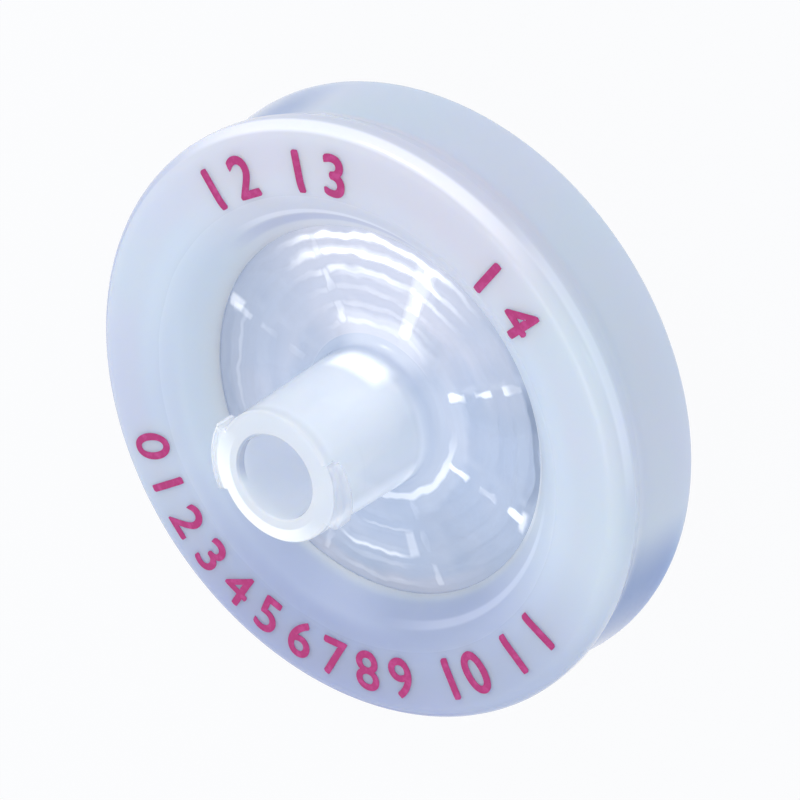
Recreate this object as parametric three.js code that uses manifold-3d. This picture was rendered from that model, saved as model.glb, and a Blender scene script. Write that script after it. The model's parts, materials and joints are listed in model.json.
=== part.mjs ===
// Disc syringe filter: two welded housings hold a membrane, and a moulded band closes their edge.
// Millimetres. The filter is drawn about its own axis, inlet upwards, with z = 0 at the band's rear
// face, and is then laid down as it rests: on the band's rear rim and the edge of its outlet tip.

import * as THREE from 'three';
import { mergeVertices } from 'three/addons/utils/BufferGeometryUtils.js';
import Module from 'manifold-3d';

const wasm = await Module();
wasm.setup();

// ---- Driving dimensions ----------------------------------------------------------------------

// Membrane and what it is clamped by
const MEMBRANE_RADIUS = 12.5;
const MEMBRANE_THICKNESS = 0.2;
const SEAT_GAP = 0.1;              // between any two pieces that seat on each other
const MEMBRANE_EDGE_GAP = 0.25;    // round the membrane, inside the outlet cup
const CLAMP_WIDTH = 0.8;           // width of the two rims that grip the membrane's edge

// Housing plates
const INLET_PLATE = 1.1;
const OUTLET_PLATE = 0.85;
const RIDGE_HEIGHT = 0.45;
const CUP_WALL = 0.65;
const PLATE_EDGE_ROUND = 0.2;

// Flow grid on the inner face of each plate
const RIDGE_COUNT = 4;
const RIDGE_PITCH = 1.75;
const RIDGE_WIDTH = 0.8;           // at the crest
const RIDGE_DRAFT = 0.12;          // each flank spreads by this much down to the plate
const GRID_MARGIN = 1.05;          // clamping rim to the outermost ridge's crest
const CHANNEL_COUNT = 8;
const CHANNEL_WIDTH = 0.9;
const CHANNEL_AZIMUTH = THREE.MathUtils.degToRad(27.5);

// Moulded band
const BAND_WALL = 2.0;             // outside the housings' edge
const FRONT_ROUND = 0.85;
const REAR_ROUND = 0.26;
const LIP_WIDTH = 1.3;             // front face to the start of the waist
const WAIST_DEPTH = 0.45;
const WAIST_SETBACK = 2.5;         // front face to the waist's lowest line
const WAIST_ROUND = 1.6;
const REAR_LIP_INSET = 0.05;

// Dished openings in the band
const FRONT_COVER = 4.0;           // how far the band reaches in over the inlet plate
const DISH_DEPTH = 2.15;
const DISH_SLOPE = THREE.MathUtils.degToRad(43);
const DISH_EDGE_ROUND = 0.8;
const REAR_COVER = 2.9;            // how far it reaches in over the outlet plate
const REAR_DISH_DEPTH = 0.7;
const REAR_DISH_SLOPE = THREE.MathUtils.degToRad(40);
const REAR_EDGE_ROUND = 0.35;

// Female luer hub (6 % taper) with two lugs
const HUB_STAND = 5.8;             // hub end above the band's front face
const HUB_TIP_RADIUS = 3.37;
const HUB_BASE_RADIUS = 3.6;
const HUB_FILLET = 0.65;
const HUB_TIP_ROUND = 0.2;
const SOCKET_MOUTH_RADIUS = 2.14;
const SOCKET_DEPTH = 7.5;
const SOCKET_CHAMFER = 0.12;
const LUER_TAPER = 0.03;           // change of radius for each millimetre of length
const INLET_ORIFICE_RADIUS = 0.9;
const LUG_RADIUS = 3.9;
const LUG_SPAN = THREE.MathUtils.degToRad(55);
const LUG_AZIMUTH = THREE.MathUtils.degToRad(47.5);
const LUG_HEIGHT = 1.5;            // at its leading end
const LUG_LEAD = 5.0;              // axial travel of the lug's ramp for one whole turn
const LUG_CHAMFER = 0.25;
const LUG_ROOT = 0.5;              // how far a lug is rooted in the hub's wall
const LUG_COUNT = 2;

// Male luer slip tip
const TIP_STAND = 10.2;            // tip end below the band's rear face
const TIP_END_RADIUS = 1.98;
const TIP_ROUND = 0.3;
const TIP_CONE_LENGTH = 8.2;
const TIP_BORE_RADIUS = 1.1;
const TIP_BORE_FLARE = 0.15;
const BOSS_RADIUS = 3.3;
const BOSS_FILLET = 0.5;
const BOSS_ROUND = 0.35;

// How far one form of a moulding runs into the next, and a cutter past the face it cuts
const FUSE = 0.1;

// How round the solids are
const BAND_SEGMENTS = 80;
const PLATE_SEGMENTS = 60;
const HUB_SEGMENTS = 40;
const ARC_STEP = THREE.MathUtils.degToRad(22.5);

// ---- Heights that follow from them -----------------------------------------------------------

const outletPlateBottom = REAR_DISH_DEPTH + SEAT_GAP;
const outletPlateTop = outletPlateBottom + OUTLET_PLATE;
const outletCrest = outletPlateTop + RIDGE_HEIGHT;
const membraneBottom = outletCrest + SEAT_GAP;
const membraneTop = membraneBottom + MEMBRANE_THICKNESS;
const inletCrest = membraneTop + SEAT_GAP;
const inletPlateBottom = inletCrest + RIDGE_HEIGHT;
const inletPlateTop = inletPlateBottom + INLET_PLATE;
const frontLipBottom = inletPlateTop + SEAT_GAP;
const bandHeight = frontLipBottom + DISH_DEPTH;
const hubTop = bandHeight + HUB_STAND;
const tipBottom = -TIP_STAND;

const cupInnerRadius = MEMBRANE_RADIUS + MEMBRANE_EDGE_GAP;
const spigotRadius = cupInnerRadius - SEAT_GAP;
const clampInnerRadius = spigotRadius - CLAMP_WIDTH;
const outerRidgeRadius = clampInnerRadius - GRID_MARGIN - RIDGE_WIDTH / 2;
const plateRadius = cupInnerRadius + CUP_WALL;
const bandInnerRadius = plateRadius + SEAT_GAP;
const bandRadius = bandInnerRadius + BAND_WALL;
const rearRimRadius = bandRadius - REAR_LIP_INSET;
const windowRadius = bandInnerRadius - FRONT_COVER;
const rearWindowRadius = bandInnerRadius - REAR_COVER;

// ---- Tools for outlines and solids -----------------------------------------------------------

// A corner of an outline: radius from the axis, height, and the radius its corner is rounded to.
const corner = (r, z, round = 0) => ({ r, z, round });

// The arc that rounds one corner, tangent to both of its sides, as a list of points.
function roundedCorner(previous, current, next) {
  const here = new THREE.Vector2(current.r, current.z);
  if (current.round === 0) return [here];
  const back = new THREE.Vector2(previous.r, previous.z).sub(here);
  const ahead = new THREE.Vector2(next.r, next.z).sub(here);
  const half = Math.acos(back.dot(ahead) / (back.length() * ahead.length())) / 2;
  const reach = current.round / Math.tan(half);
  const start = back.setLength(reach).add(here);
  const end = ahead.setLength(reach).add(here);
  const middle = start.clone().add(end).multiplyScalar(0.5).sub(here);
  const centre = middle.setLength(current.round / Math.sin(half)).add(here);
  const from = start.clone().sub(centre).angle();
  let sweep = end.clone().sub(centre).angle() - from;
  if (sweep > Math.PI) sweep -= 2 * Math.PI;
  if (sweep < -Math.PI) sweep += 2 * Math.PI;
  const steps = Math.max(2, Math.ceil(Math.abs(sweep) / ARC_STEP));
  return Array.from({ length: steps + 1 }, (_, i) => {
    const angle = from + (sweep * i) / steps;
    return new THREE.Vector2(Math.cos(angle), Math.sin(angle)).multiplyScalar(current.round).add(centre);
  });
}

// A closed outline with its corners rounded.
function outline(corners) {
  const count = corners.length;
  return corners.flatMap((point, i) =>
    roundedCorner(corners[(i + count - 1) % count], point, corners[(i + 1) % count]));
}

// A closed three.js geometry as a manifold solid.
function solid(geometry) {
  geometry.deleteAttribute('normal');
  geometry.deleteAttribute('uv');
  const welded = mergeVertices(geometry, 1e-5);
  const corners = welded.index.array;
  const triangles = [];
  for (let i = 0; i < corners.length; i += 3) {
    const [a, b, c] = corners.slice(i, i + 3);
    if (a !== b && b !== c && c !== a) triangles.push(a, b, c);
  }
  return new wasm.Manifold(new wasm.Mesh({
    numProp: 3,
    vertProperties: welded.attributes.position.array,
    triVerts: Uint32Array.from(triangles),
  }));
}

// An outline, listed anticlockwise with r to the right and z up, turned round the filter's axis.
// A flat of the turned solid faces -Y, the side it comes to rest on.
function revolve(corners, segments) {
  const points = outline(corners);
  points.push(points[0].clone());
  const lathe = new THREE.LatheGeometry(points, segments, Math.PI / segments);
  return solid(lathe.rotateX(Math.PI / 2));
}

const union = (solids) => solids.reduce((whole, piece) => whole.add(piece));

// Copies of a solid spaced evenly round the axis.
function around(piece, count, azimuth) {
  return union(Array.from({ length: count }, (_, i) =>
    piece.rotate([0, 0, THREE.MathUtils.radToDeg(azimuth + (2 * Math.PI * i) / count)])));
}

function meshOf(name, shape, material) {
  const data = shape.getMesh();
  const geometry = new THREE.BufferGeometry();
  geometry.setAttribute('position', new THREE.BufferAttribute(data.vertProperties, 3));
  geometry.setIndex(new THREE.BufferAttribute(data.triVerts, 1));
  const mesh = new THREE.Mesh(geometry, material);
  mesh.name = name;
  return mesh;
}

// ---- Flow grid -------------------------------------------------------------------------------

// Concentric ridges that stand on a plate's inner face, root to crest, cut through by channels.
function flowGrid(root, crest) {
  const foot = root - Math.sign(crest - root) * FUSE;
  const ridges = Array.from({ length: RIDGE_COUNT }, (_, i) => {
    const middle = outerRidgeRadius - i * RIDGE_PITCH;
    const wide = RIDGE_WIDTH / 2 + RIDGE_DRAFT;
    const narrow = RIDGE_WIDTH / 2;
    const ring = [
      corner(middle - wide, foot),
      corner(middle + wide, foot),
      corner(middle + wide, root),
      corner(middle + narrow, crest),
      corner(middle - narrow, crest),
      corner(middle - wide, root),
    ];
    return revolve(crest > root ? ring : ring.reverse(), PLATE_SEGMENTS);
  });
  const reach = clampInnerRadius;
  const depth = 2 * Math.abs(crest - foot);
  const bar = new THREE.BoxGeometry(reach, CHANNEL_WIDTH, depth);
  const channel = solid(bar.translate(reach / 2, 0, (root + crest) / 2));
  return union(ridges).subtract(around(channel, CHANNEL_COUNT, CHANNEL_AZIMUTH));
}

// ---- Inlet housing ---------------------------------------------------------------------------

// One luer lug: a short length of thread, flush with the hub's end, whose underside is a ramp.
function lug() {
  const steps = Math.ceil((LUG_SPAN * HUB_SEGMENTS) / (2 * Math.PI));
  const root = HUB_TIP_RADIUS - LUG_ROOT;
  const ring = (i) => {
    const turn = LUG_SPAN * (i / steps - 0.5);
    const bottom = hubTop - LUG_HEIGHT + (LUG_LEAD * LUG_SPAN * i) / steps / (2 * Math.PI);
    const section = [
      [root, hubTop],
      [root, bottom],
      [LUG_RADIUS, bottom + LUG_CHAMFER],
      [LUG_RADIUS, hubTop - LUG_CHAMFER],
      [LUG_RADIUS - LUG_CHAMFER, hubTop],
    ];
    return section.map(([r, z]) => new THREE.Vector3(r * Math.cos(turn), r * Math.sin(turn), z));
  };
  return solid(loft(Array.from({ length: steps + 1 }, (_, i) => ring(i))));
}

// A skin over a row of like sections, closed at both ends.
function loft(sections) {
  const sides = sections[0].length;
  const last = (sections.length - 1) * sides;
  const faces = [];
  for (let i = 0; i < sections.length - 1; i += 1) {
    for (let j = 0; j < sides; j += 1) {
      const a = i * sides + j;
      const b = i * sides + ((j + 1) % sides);
      faces.push(a, a + sides, b, b, a + sides, b + sides);
    }
  }
  for (let j = 1; j < sides - 1; j += 1) {
    faces.push(0, j, j + 1, last, last + j + 1, last + j);
  }
  const geometry = new THREE.BufferGeometry().setFromPoints(sections.flat());
  geometry.setIndex(faces);
  return geometry;
}

function inletPlate() {
  return revolve([
    corner(0, inletPlateBottom),
    corner(clampInnerRadius, inletPlateBottom),
    corner(clampInnerRadius, inletCrest),
    corner(spigotRadius, inletCrest),
    corner(spigotRadius, inletPlateBottom),
    corner(plateRadius, inletPlateBottom),
    corner(plateRadius, inletPlateTop, PLATE_EDGE_ROUND),
    corner(0, inletPlateTop),
  ], PLATE_SEGMENTS);
}

function hubBarrel() {
  const root = inletPlateTop - FUSE;
  return revolve([
    corner(0, root),
    corner(HUB_BASE_RADIUS + HUB_FILLET, root),
    corner(HUB_BASE_RADIUS + HUB_FILLET, inletPlateTop),
    corner(HUB_BASE_RADIUS, inletPlateTop, HUB_FILLET),
    corner(HUB_TIP_RADIUS, hubTop, HUB_TIP_ROUND),
    corner(0, hubTop),
  ], HUB_SEGMENTS);
}

// The tapered socket, its lead-in chamfer and the orifice through the plate, as one cutting body.
function socketCutter() {
  const floor = hubTop - SOCKET_DEPTH;
  return revolve([
    corner(0, inletPlateBottom - FUSE),
    corner(INLET_ORIFICE_RADIUS, inletPlateBottom - FUSE),
    corner(INLET_ORIFICE_RADIUS, floor),
    corner(SOCKET_MOUTH_RADIUS - LUER_TAPER * SOCKET_DEPTH, floor),
    corner(SOCKET_MOUTH_RADIUS, hubTop - SOCKET_CHAMFER),
    corner(SOCKET_MOUTH_RADIUS + SOCKET_CHAMFER, hubTop),
    corner(SOCKET_MOUTH_RADIUS + SOCKET_CHAMFER, hubTop + FUSE),
    corner(0, hubTop + FUSE),
  ], HUB_SEGMENTS);
}

function inletHousing() {
  return union([
    inletPlate(),
    flowGrid(inletPlateBottom, inletCrest),
    hubBarrel(),
    around(lug(), LUG_COUNT, LUG_AZIMUTH),
  ]).subtract(socketCutter());
}

// ---- Membrane --------------------------------------------------------------------------------

function membraneDisc() {
  return revolve([
    corner(0, membraneBottom),
    corner(MEMBRANE_RADIUS, membraneBottom),
    corner(MEMBRANE_RADIUS, membraneTop),
    corner(0, membraneTop),
  ], PLATE_SEGMENTS);
}

// ---- Outlet housing --------------------------------------------------------------------------

function outletCup() {
  return revolve([
    corner(0, outletPlateBottom),
    corner(plateRadius, outletPlateBottom, PLATE_EDGE_ROUND),
    corner(plateRadius, inletPlateBottom - SEAT_GAP),
    corner(cupInnerRadius, inletPlateBottom - SEAT_GAP),
    corner(cupInnerRadius, outletCrest),
    corner(clampInnerRadius, outletCrest),
    corner(clampInnerRadius, outletPlateTop),
    corner(0, outletPlateTop),
  ], PLATE_SEGMENTS);
}

function outletTip() {
  const coneTop = tipBottom + TIP_CONE_LENGTH;
  const root = outletPlateBottom + FUSE;
  return revolve([
    corner(0, tipBottom),
    corner(TIP_END_RADIUS, tipBottom, TIP_ROUND),
    corner(TIP_END_RADIUS + LUER_TAPER * TIP_CONE_LENGTH, coneTop, BOSS_ROUND),
    corner(BOSS_RADIUS, coneTop, BOSS_ROUND),
    corner(BOSS_RADIUS, outletPlateBottom, BOSS_FILLET),
    corner(BOSS_RADIUS + BOSS_FILLET, outletPlateBottom),
    corner(BOSS_RADIUS + BOSS_FILLET, root),
    corner(0, root),
  ], HUB_SEGMENTS);
}

function tipBore() {
  return revolve([
    corner(0, tipBottom - FUSE),
    corner(TIP_BORE_RADIUS, tipBottom - FUSE),
    corner(TIP_BORE_RADIUS, outletPlateTop - OUTLET_PLATE / 2),
    corner(TIP_BORE_RADIUS + TIP_BORE_FLARE, outletPlateTop + FUSE),
    corner(0, outletPlateTop + FUSE),
  ], HUB_SEGMENTS);
}

function outletHousing() {
  return union([
    outletCup(),
    flowGrid(outletPlateTop, outletCrest),
    outletTip(),
  ]).subtract(tipBore());
}

// ---- Moulded band ----------------------------------------------------------------------------

function overmouldRing() {
  const dishTop = windowRadius + DISH_DEPTH * Math.tan(DISH_SLOPE);
  const rearDishTop = rearWindowRadius + REAR_DISH_DEPTH * Math.tan(REAR_DISH_SLOPE);
  const waistRadius = bandRadius - WAIST_DEPTH;
  return revolve([
    corner(rearDishTop, 0, REAR_EDGE_ROUND),
    corner(rearRimRadius, 0, REAR_ROUND),
    corner(waistRadius, bandHeight - WAIST_SETBACK, WAIST_ROUND),
    corner(bandRadius, bandHeight - LIP_WIDTH),
    corner(bandRadius, bandHeight, FRONT_ROUND),
    corner(dishTop, bandHeight, DISH_EDGE_ROUND),
    corner(windowRadius, frontLipBottom),
    corner(bandInnerRadius, frontLipBottom),
    corner(bandInnerRadius, REAR_DISH_DEPTH),
    corner(rearWindowRadius, REAR_DISH_DEPTH),
  ], BAND_SEGMENTS);
}

// ---- The filter, laid down as it rests -------------------------------------------------------

// Angle between the band's rear face and the ground line that touches the rear rim and the tip.
function leanAngle() {
  const rim = new THREE.Vector2(rearRimRadius - REAR_ROUND, REAR_ROUND);
  const tip = new THREE.Vector2(TIP_END_RADIUS - TIP_ROUND, tipBottom + TIP_ROUND);
  const between = rim.clone().sub(tip);
  return between.angle() + Math.asin((TIP_ROUND - REAR_ROUND) / between.length());
}

const windowPlastic = new THREE.MeshStandardMaterial({ color: 0xd3e0ee, roughness: 0.25, metalness: 0 });
const outletPlastic = new THREE.MeshStandardMaterial({ color: 0xcfdceb, roughness: 0.3, metalness: 0 });
const bandPlastic = new THREE.MeshStandardMaterial({ color: 0xc9d6e8, roughness: 0.38, metalness: 0 });
const membranePolymer = new THREE.MeshStandardMaterial({ color: 0xf4f6f8, roughness: 0.85, metalness: 0 });

const filter = new THREE.Group();
filter.add(
  meshOf('inlet_housing', inletHousing(), windowPlastic),
  meshOf('membrane', membraneDisc(), membranePolymer),
  meshOf('outlet_housing', outletHousing(), outletPlastic),
  meshOf('overmould_ring', overmouldRing(), bandPlastic),
);
filter.rotation.x = leanAngle();

const part = new THREE.Group();
part.add(filter);
const reach = new THREE.Box3().setFromObject(part, true);
const middle = reach.getCenter(new THREE.Vector3());
filter.position.set(-middle.x, -middle.y, -reach.min.z);

export default part;
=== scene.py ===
"""Looks of a disc syringe filter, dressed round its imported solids.

Every form is drawn about the filter's own axis in millimetres, with z = 0 at the band's rear face
and the inlet upwards. Placement then lays it down, in metres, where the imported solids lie.
"""

import json
import logging
import math
from collections.abc import Iterable, Sequence
from dataclasses import dataclass, field
from enum import Enum
from typing import NamedTuple

import bpy
import numpy as np
from mathutils import Matrix, Vector


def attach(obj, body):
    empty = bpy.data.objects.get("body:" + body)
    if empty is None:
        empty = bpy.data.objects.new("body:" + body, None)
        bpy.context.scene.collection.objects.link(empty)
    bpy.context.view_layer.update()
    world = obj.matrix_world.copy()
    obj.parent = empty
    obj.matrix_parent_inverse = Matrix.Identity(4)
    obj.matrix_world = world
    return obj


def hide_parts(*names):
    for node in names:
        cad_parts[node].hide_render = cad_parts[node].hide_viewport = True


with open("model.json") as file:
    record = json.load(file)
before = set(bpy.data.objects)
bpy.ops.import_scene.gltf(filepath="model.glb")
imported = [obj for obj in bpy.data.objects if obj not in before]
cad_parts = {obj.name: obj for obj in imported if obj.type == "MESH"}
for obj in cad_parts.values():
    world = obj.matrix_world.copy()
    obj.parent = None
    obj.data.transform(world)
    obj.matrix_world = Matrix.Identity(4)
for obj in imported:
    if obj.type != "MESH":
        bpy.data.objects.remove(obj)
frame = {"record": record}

logging.basicConfig(level=logging.INFO, format="%(message)s")
log = logging.getLogger("syringe_filter")

MM = 0.001

Colour = tuple[float, float, float]
Point = tuple[float, float, float]
Span = tuple[float, float]
Settings = dict[str, object]
Inputs = dict[str | int, object]

WHITE: Colour = (1.0, 1.0, 1.0)
BLACK: Colour = (0.0, 0.0, 0.0)


# ---- Node trees ------------------------------------------------------------------------------


class Sock:
    """An output socket whose arithmetic adds Math nodes to its tree."""

    def __init__(self, tree: "Tree", socket: bpy.types.NodeSocket) -> None:
        """Wraps one output socket.

        Args:
            tree: The tree that the socket's node is in.
            socket: The output socket.
        """
        self.tree = tree
        self.socket = socket

    def output(self, name: str | int) -> "Sock":
        """Another output of the same node, by name or index."""
        return Sock(self.tree, self.socket.node.outputs[name])

    def _math(self, operation: str, *values: object) -> "Sock":
        """A Math node on these values, first input first."""
        return self.tree.node(self.tree.math_kind, {"operation": operation}, dict(enumerate(values)))

    def __add__(self, other: object) -> "Sock":
        """Sum."""
        return self._math("ADD", self, other)

    def __radd__(self, other: object) -> "Sock":
        """Reflected sum."""
        return self._math("ADD", other, self)

    def __sub__(self, other: object) -> "Sock":
        """Difference."""
        return self._math("SUBTRACT", self, other)

    def __rsub__(self, other: object) -> "Sock":
        """Reflected difference."""
        return self._math("SUBTRACT", other, self)

    def __mul__(self, other: object) -> "Sock":
        """Product."""
        return self._math("MULTIPLY", self, other)

    def __rmul__(self, other: object) -> "Sock":
        """Reflected product."""
        return self._math("MULTIPLY", other, self)

    def __truediv__(self, other: object) -> "Sock":
        """Quotient."""
        return self._math("DIVIDE", self, other)

    def __rtruediv__(self, other: object) -> "Sock":
        """Reflected quotient."""
        return self._math("DIVIDE", other, self)

    def __abs__(self) -> "Sock":
        """Absolute value."""
        return self._math("ABSOLUTE", self)

    def fraction(self) -> "Sock":
        """Fractional part."""
        return self._math("FRACT", self)

    def root(self) -> "Sock":
        """Square root."""
        return self._math("SQRT", self)

    def power(self, exponent: float) -> "Sock":
        """This to the power of the exponent."""
        return self._math("POWER", self, exponent)

    def sine(self) -> "Sock":
        """Sine of an angle in radians."""
        return self._math("SINE", self)

    def cosine(self) -> "Sock":
        """Cosine of an angle in radians."""
        return self._math("COSINE", self)

    def bearing(self, east: "Sock") -> "Sock":
        """Angle of the point (east, this) round the origin, in radians."""
        return self._math("ARCTAN2", self, east)

    def at_most(self, limit: object) -> "Sock":
        """The lower of this and the limit."""
        return self._math("MINIMUM", self, limit)

    def less_than(self, limit: object) -> "Sock":
        """1 where this is below the limit, and 0 elsewhere."""
        return self._math("LESS_THAN", self, limit)

    def ramp(self, low: object, high: object, at_low: object = 0.0, at_high: object = 1.0) -> "Sock":
        """A smooth step from at_low, where this is low, to at_high, where it is high."""
        values = {"Value": self, "From Min": low, "From Max": high, "To Min": at_low, "To Max": at_high}
        return self.tree.node("ShaderNodeMapRange", {"interpolation_type": "SMOOTHSTEP"}, values)

    def fall(self, low: object, high: object) -> "Sock":
        """A smooth step from 1, where this is low, down to 0, where it is high."""
        return self.ramp(low, high, 1.0, 0.0)


class Tree:
    """Builds one node tree."""

    math_kind = "ShaderNodeMath"

    def __init__(self, tree: bpy.types.NodeTree) -> None:
        """Wraps a node tree.

        Args:
            tree: A material's, a world's or a geometry tree, which is emptied.
        """
        self.tree = tree
        tree.nodes.clear()

    def node(
        self, kind: str, settings: Settings | None = None, inputs: Inputs | None = None
    ) -> Sock | None:
        """Adds a node.

        Args:
            kind: The node's type.
            settings: Its properties, which are set first.
            inputs: A value or a Sock for each socket, by name or index, or a list of Socks for a
                socket that takes several.

        Returns:
            The node's first enabled output, or None where it has no outputs.
        """
        made = self.tree.nodes.new(kind)
        for name, value in (settings or {}).items():
            setattr(made, name, value)
        for name, value in (inputs or {}).items():
            self.feed(made.inputs[name], value)
        return next((Sock(self, socket) for socket in made.outputs if socket.enabled), None)

    def feed(self, socket: bpy.types.NodeSocket, value: object) -> None:
        """Links a Sock or a list of Socks to an input, or sets the input's own value."""
        if isinstance(value, Sock):
            self.tree.links.new(value.socket, socket)
        elif isinstance(value, list):
            for each in value:
                self.feed(socket, each)
        elif isinstance(value, tuple) and len(value) == 3 and socket.type == "RGBA":
            socket.default_value = (*value, 1.0)
        else:
            socket.default_value = value

    def vector(self, operation: str, *values: object) -> Sock:
        """A Vector Math node on these values, first input first."""
        return self.node("ShaderNodeVectorMath", {"operation": operation}, dict(enumerate(values)))

    def dot(self, first: object, second: object) -> Sock:
        """The dot product of two vectors."""
        return self.vector("DOT_PRODUCT", first, second).output("Value")

    def point(self, **parts: object) -> Sock:
        """A vector from its parts X, Y and Z, which are 0 where they aren't given."""
        return self.node("ShaderNodeCombineXYZ", {}, parts)

    def mix_colour(self, share: object, low: object, high: object) -> Sock:
        """Colour low where the share is 0, and high where it is 1."""
        mixed = self.node("ShaderNodeMix", {"data_type": "RGBA"}, {0: share, 6: low, 7: high})
        return mixed.output(2)

    def mix_shader(self, share: object, low: Sock, high: Sock) -> Sock:
        """Shader low where the share is 0, and high where it is 1."""
        return self.node("ShaderNodeMixShader", {}, {0: share, 1: low, 2: high})

    def noise(self, where: Sock, scale: float, detail: float) -> Sock:
        """A noise of this many waves a metre, from 0 to 1."""
        inputs = {"Vector": where, "Scale": scale, "Detail": detail, "Roughness": 0.5}
        return self.node("ShaderNodeTexNoise", {"noise_dimensions": "3D"}, inputs)


class Ports:
    """The named inputs of a geometry tree, declared once and read by name."""

    KINDS = {int: "NodeSocketInt", float: "NodeSocketFloat", str: "NodeSocketString",
             bpy.types.Material: "NodeSocketMaterial"}

    def __init__(self, name: str, values: dict[str, object]) -> None:
        """Makes the tree and declares its inputs.

        Args:
            name: The tree's name.
            values: Each input's value by name, in the order shown. Its type gives the socket's.
        """
        self.group = bpy.data.node_groups.new(name, "GeometryNodeTree")
        self.tree = Tree(self.group)
        self.values = values
        face = self.group.interface
        face.new_socket("Geometry", in_out="INPUT", socket_type="NodeSocketGeometry")
        self.identifiers = {
            key: face.new_socket(key, in_out="INPUT", socket_type=self._kind(value)).identifier
            for key, value in values.items()
        }
        face.new_socket("Geometry", in_out="OUTPUT", socket_type="NodeSocketGeometry")
        self.inlet = self.tree.node("NodeGroupInput")

    def _kind(self, value: object) -> str:
        """The socket type that holds a value."""
        return next(kind for cls, kind in self.KINDS.items() if isinstance(value, cls))

    def __getitem__(self, name: str) -> Sock:
        """The tree's input of that name."""
        return self.inlet.output(name)

    def finish(self, geometry: Sock, material: Sock) -> None:
        """Ends the tree in Realize Instances and Set Material."""
        realized = self.tree.node("GeometryNodeRealizeInstances", {}, {"Geometry": geometry})
        inputs = {"Geometry": realized, "Material": material}
        dressed = self.tree.node("GeometryNodeSetMaterial", {}, inputs)
        outlet = self.group.nodes.new("NodeGroupOutput")
        self.tree.feed(outlet.inputs["Geometry"], dressed)

    def run_on(self, mesh: bpy.types.Mesh, name: str) -> bpy.types.Mesh:
        """Runs the tree on a mesh.

        Args:
            mesh: The mesh that goes in as Geometry.
            name: The name of the mesh that comes out.

        Returns:
            A plain mesh with the tree's result.
        """
        carrier = bpy.data.objects.new(name + "_carrier", mesh)
        bpy.context.scene.collection.objects.link(carrier)
        modifier = carrier.modifiers.new("rule", "NODES")
        modifier.node_group = self.group
        for key, value in self.values.items():
            modifier[self.identifiers[key]] = value
        graph = bpy.context.evaluated_depsgraph_get()
        made = bpy.data.meshes.new_from_object(carrier.evaluated_get(graph), depsgraph=graph)
        made.name = name
        carrier.modifiers.clear()
        bpy.data.objects.remove(carrier)
        return made


# ---- Turned forms ----------------------------------------------------------------------------


class Corner(NamedTuple):
    """A corner of a turned outline, and the radius that it is rounded to, in millimetres."""

    r: float
    z: float
    round: float = 0.0


@dataclass
class Ring:
    """One loop of points round the axis: radius, height and angle of each."""

    r: np.ndarray
    z: np.ndarray
    angle: np.ndarray

    @classmethod
    def flat(cls, r: float, z: float, angles: np.ndarray) -> "Ring":
        """A ring of one radius and one height."""
        return cls(np.full(len(angles), r), np.full(len(angles), z), angles)

    def points(self) -> np.ndarray:
        """The loop's points, in millimetres."""
        return np.stack([self.r * np.cos(self.angle), self.r * np.sin(self.angle), self.z], axis=1)


def rounded(corners: Sequence[Corner], step: float = 9.0, ease: float = 0.05) -> list[Span]:
    """Rounds the corners of a closed outline.

    Args:
        corners: The outline, anticlockwise with r to the right and z up.
        step: Degrees of arc for each side of a rounded corner, at most.
        ease: How far past an arc the next point lies, so that a flat next to it shades flat.

    Returns:
        The outline's points as (r, z).
    """
    points: list[Span] = []
    for index, here in enumerate(corners):
        if not here.round:
            points.append((here.r, here.z))
            continue
        middle = Vector((here.r, here.z))
        before, after = corners[index - 1], corners[(index + 1) % len(corners)]
        back = (Vector((before.r, before.z)) - middle).normalized()
        ahead = (Vector((after.r, after.z)) - middle).normalized()
        half = back.angle(ahead) / 2
        reach = here.round / math.tan(half)
        centre = middle + (back + ahead).normalized() * (here.round / math.sin(half))
        start, end = middle + back * reach, middle + ahead * reach
        first = math.atan2(start.y - centre.y, start.x - centre.x)
        sweep = math.remainder(math.atan2(end.y - centre.y, end.x - centre.x) - first, math.tau)
        steps = max(3, math.ceil(abs(math.degrees(sweep)) / step))
        turns = [first + sweep * k / steps for k in range(steps + 1)]
        arc = [(centre.x + here.round * math.cos(a), centre.y + here.round * math.sin(a)) for a in turns]
        points += [tuple(start + back * ease), *arc, tuple(end + ahead * ease)]
    return points


def quarter(steps: int) -> list[Span]:
    """Points of a quarter round of radius 1, each as how far in it is from the side and from the end."""
    turns = (math.pi / 2 * k / steps for k in range(steps + 1))
    return [(1 - math.cos(turn), 1 - math.sin(turn)) for turn in turns]


def even_angles(count: int) -> np.ndarray:
    """This many even angles round the axis, in radians."""
    return np.arange(count) * (math.tau / count)


def rings_of(points: Iterable[Span], angles: np.ndarray) -> list[Ring]:
    """A ring for each point of an outline."""
    return [Ring.flat(r, z, angles) for r, z in points]


def skin(name: str, rings: Sequence[Ring]) -> bpy.types.Mesh:
    """Joins rings into one closed mesh, the last ring to the first.

    A ring of radius 0 becomes a single point.

    Args:
        name: The mesh's name.
        rings: The loops of points in order round the outline.

    Returns:
        The mesh, in millimetres, with its faces outwards.
    """
    count = len(rings[0].r)
    points: list[np.ndarray] = []
    rows: list[np.ndarray] = []
    for ring in rings:
        base = sum(len(block) for block in points)
        if np.all(ring.r == 0):
            points.append(ring.points()[:1])
            rows.append(np.full(count, base))
        else:
            points.append(ring.points())
            rows.append(base + np.arange(count))
    faces: list[tuple[int, ...]] = []
    for row, following in zip(rows, rows[1:] + rows[:1]):
        for k in range(count):
            face = (row[k], row[(k + 1) % count], following[(k + 1) % count], following[k])
            kept = tuple(dict.fromkeys(int(v) for v in face))
            if len(kept) > 2:
                faces.append(kept)
    mesh = bpy.data.meshes.new(name)
    mesh.from_pydata(np.concatenate(points).tolist(), [], faces)
    if signed_volume(mesh) < 0:
        mesh.flip_normals()
    return mesh


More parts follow.
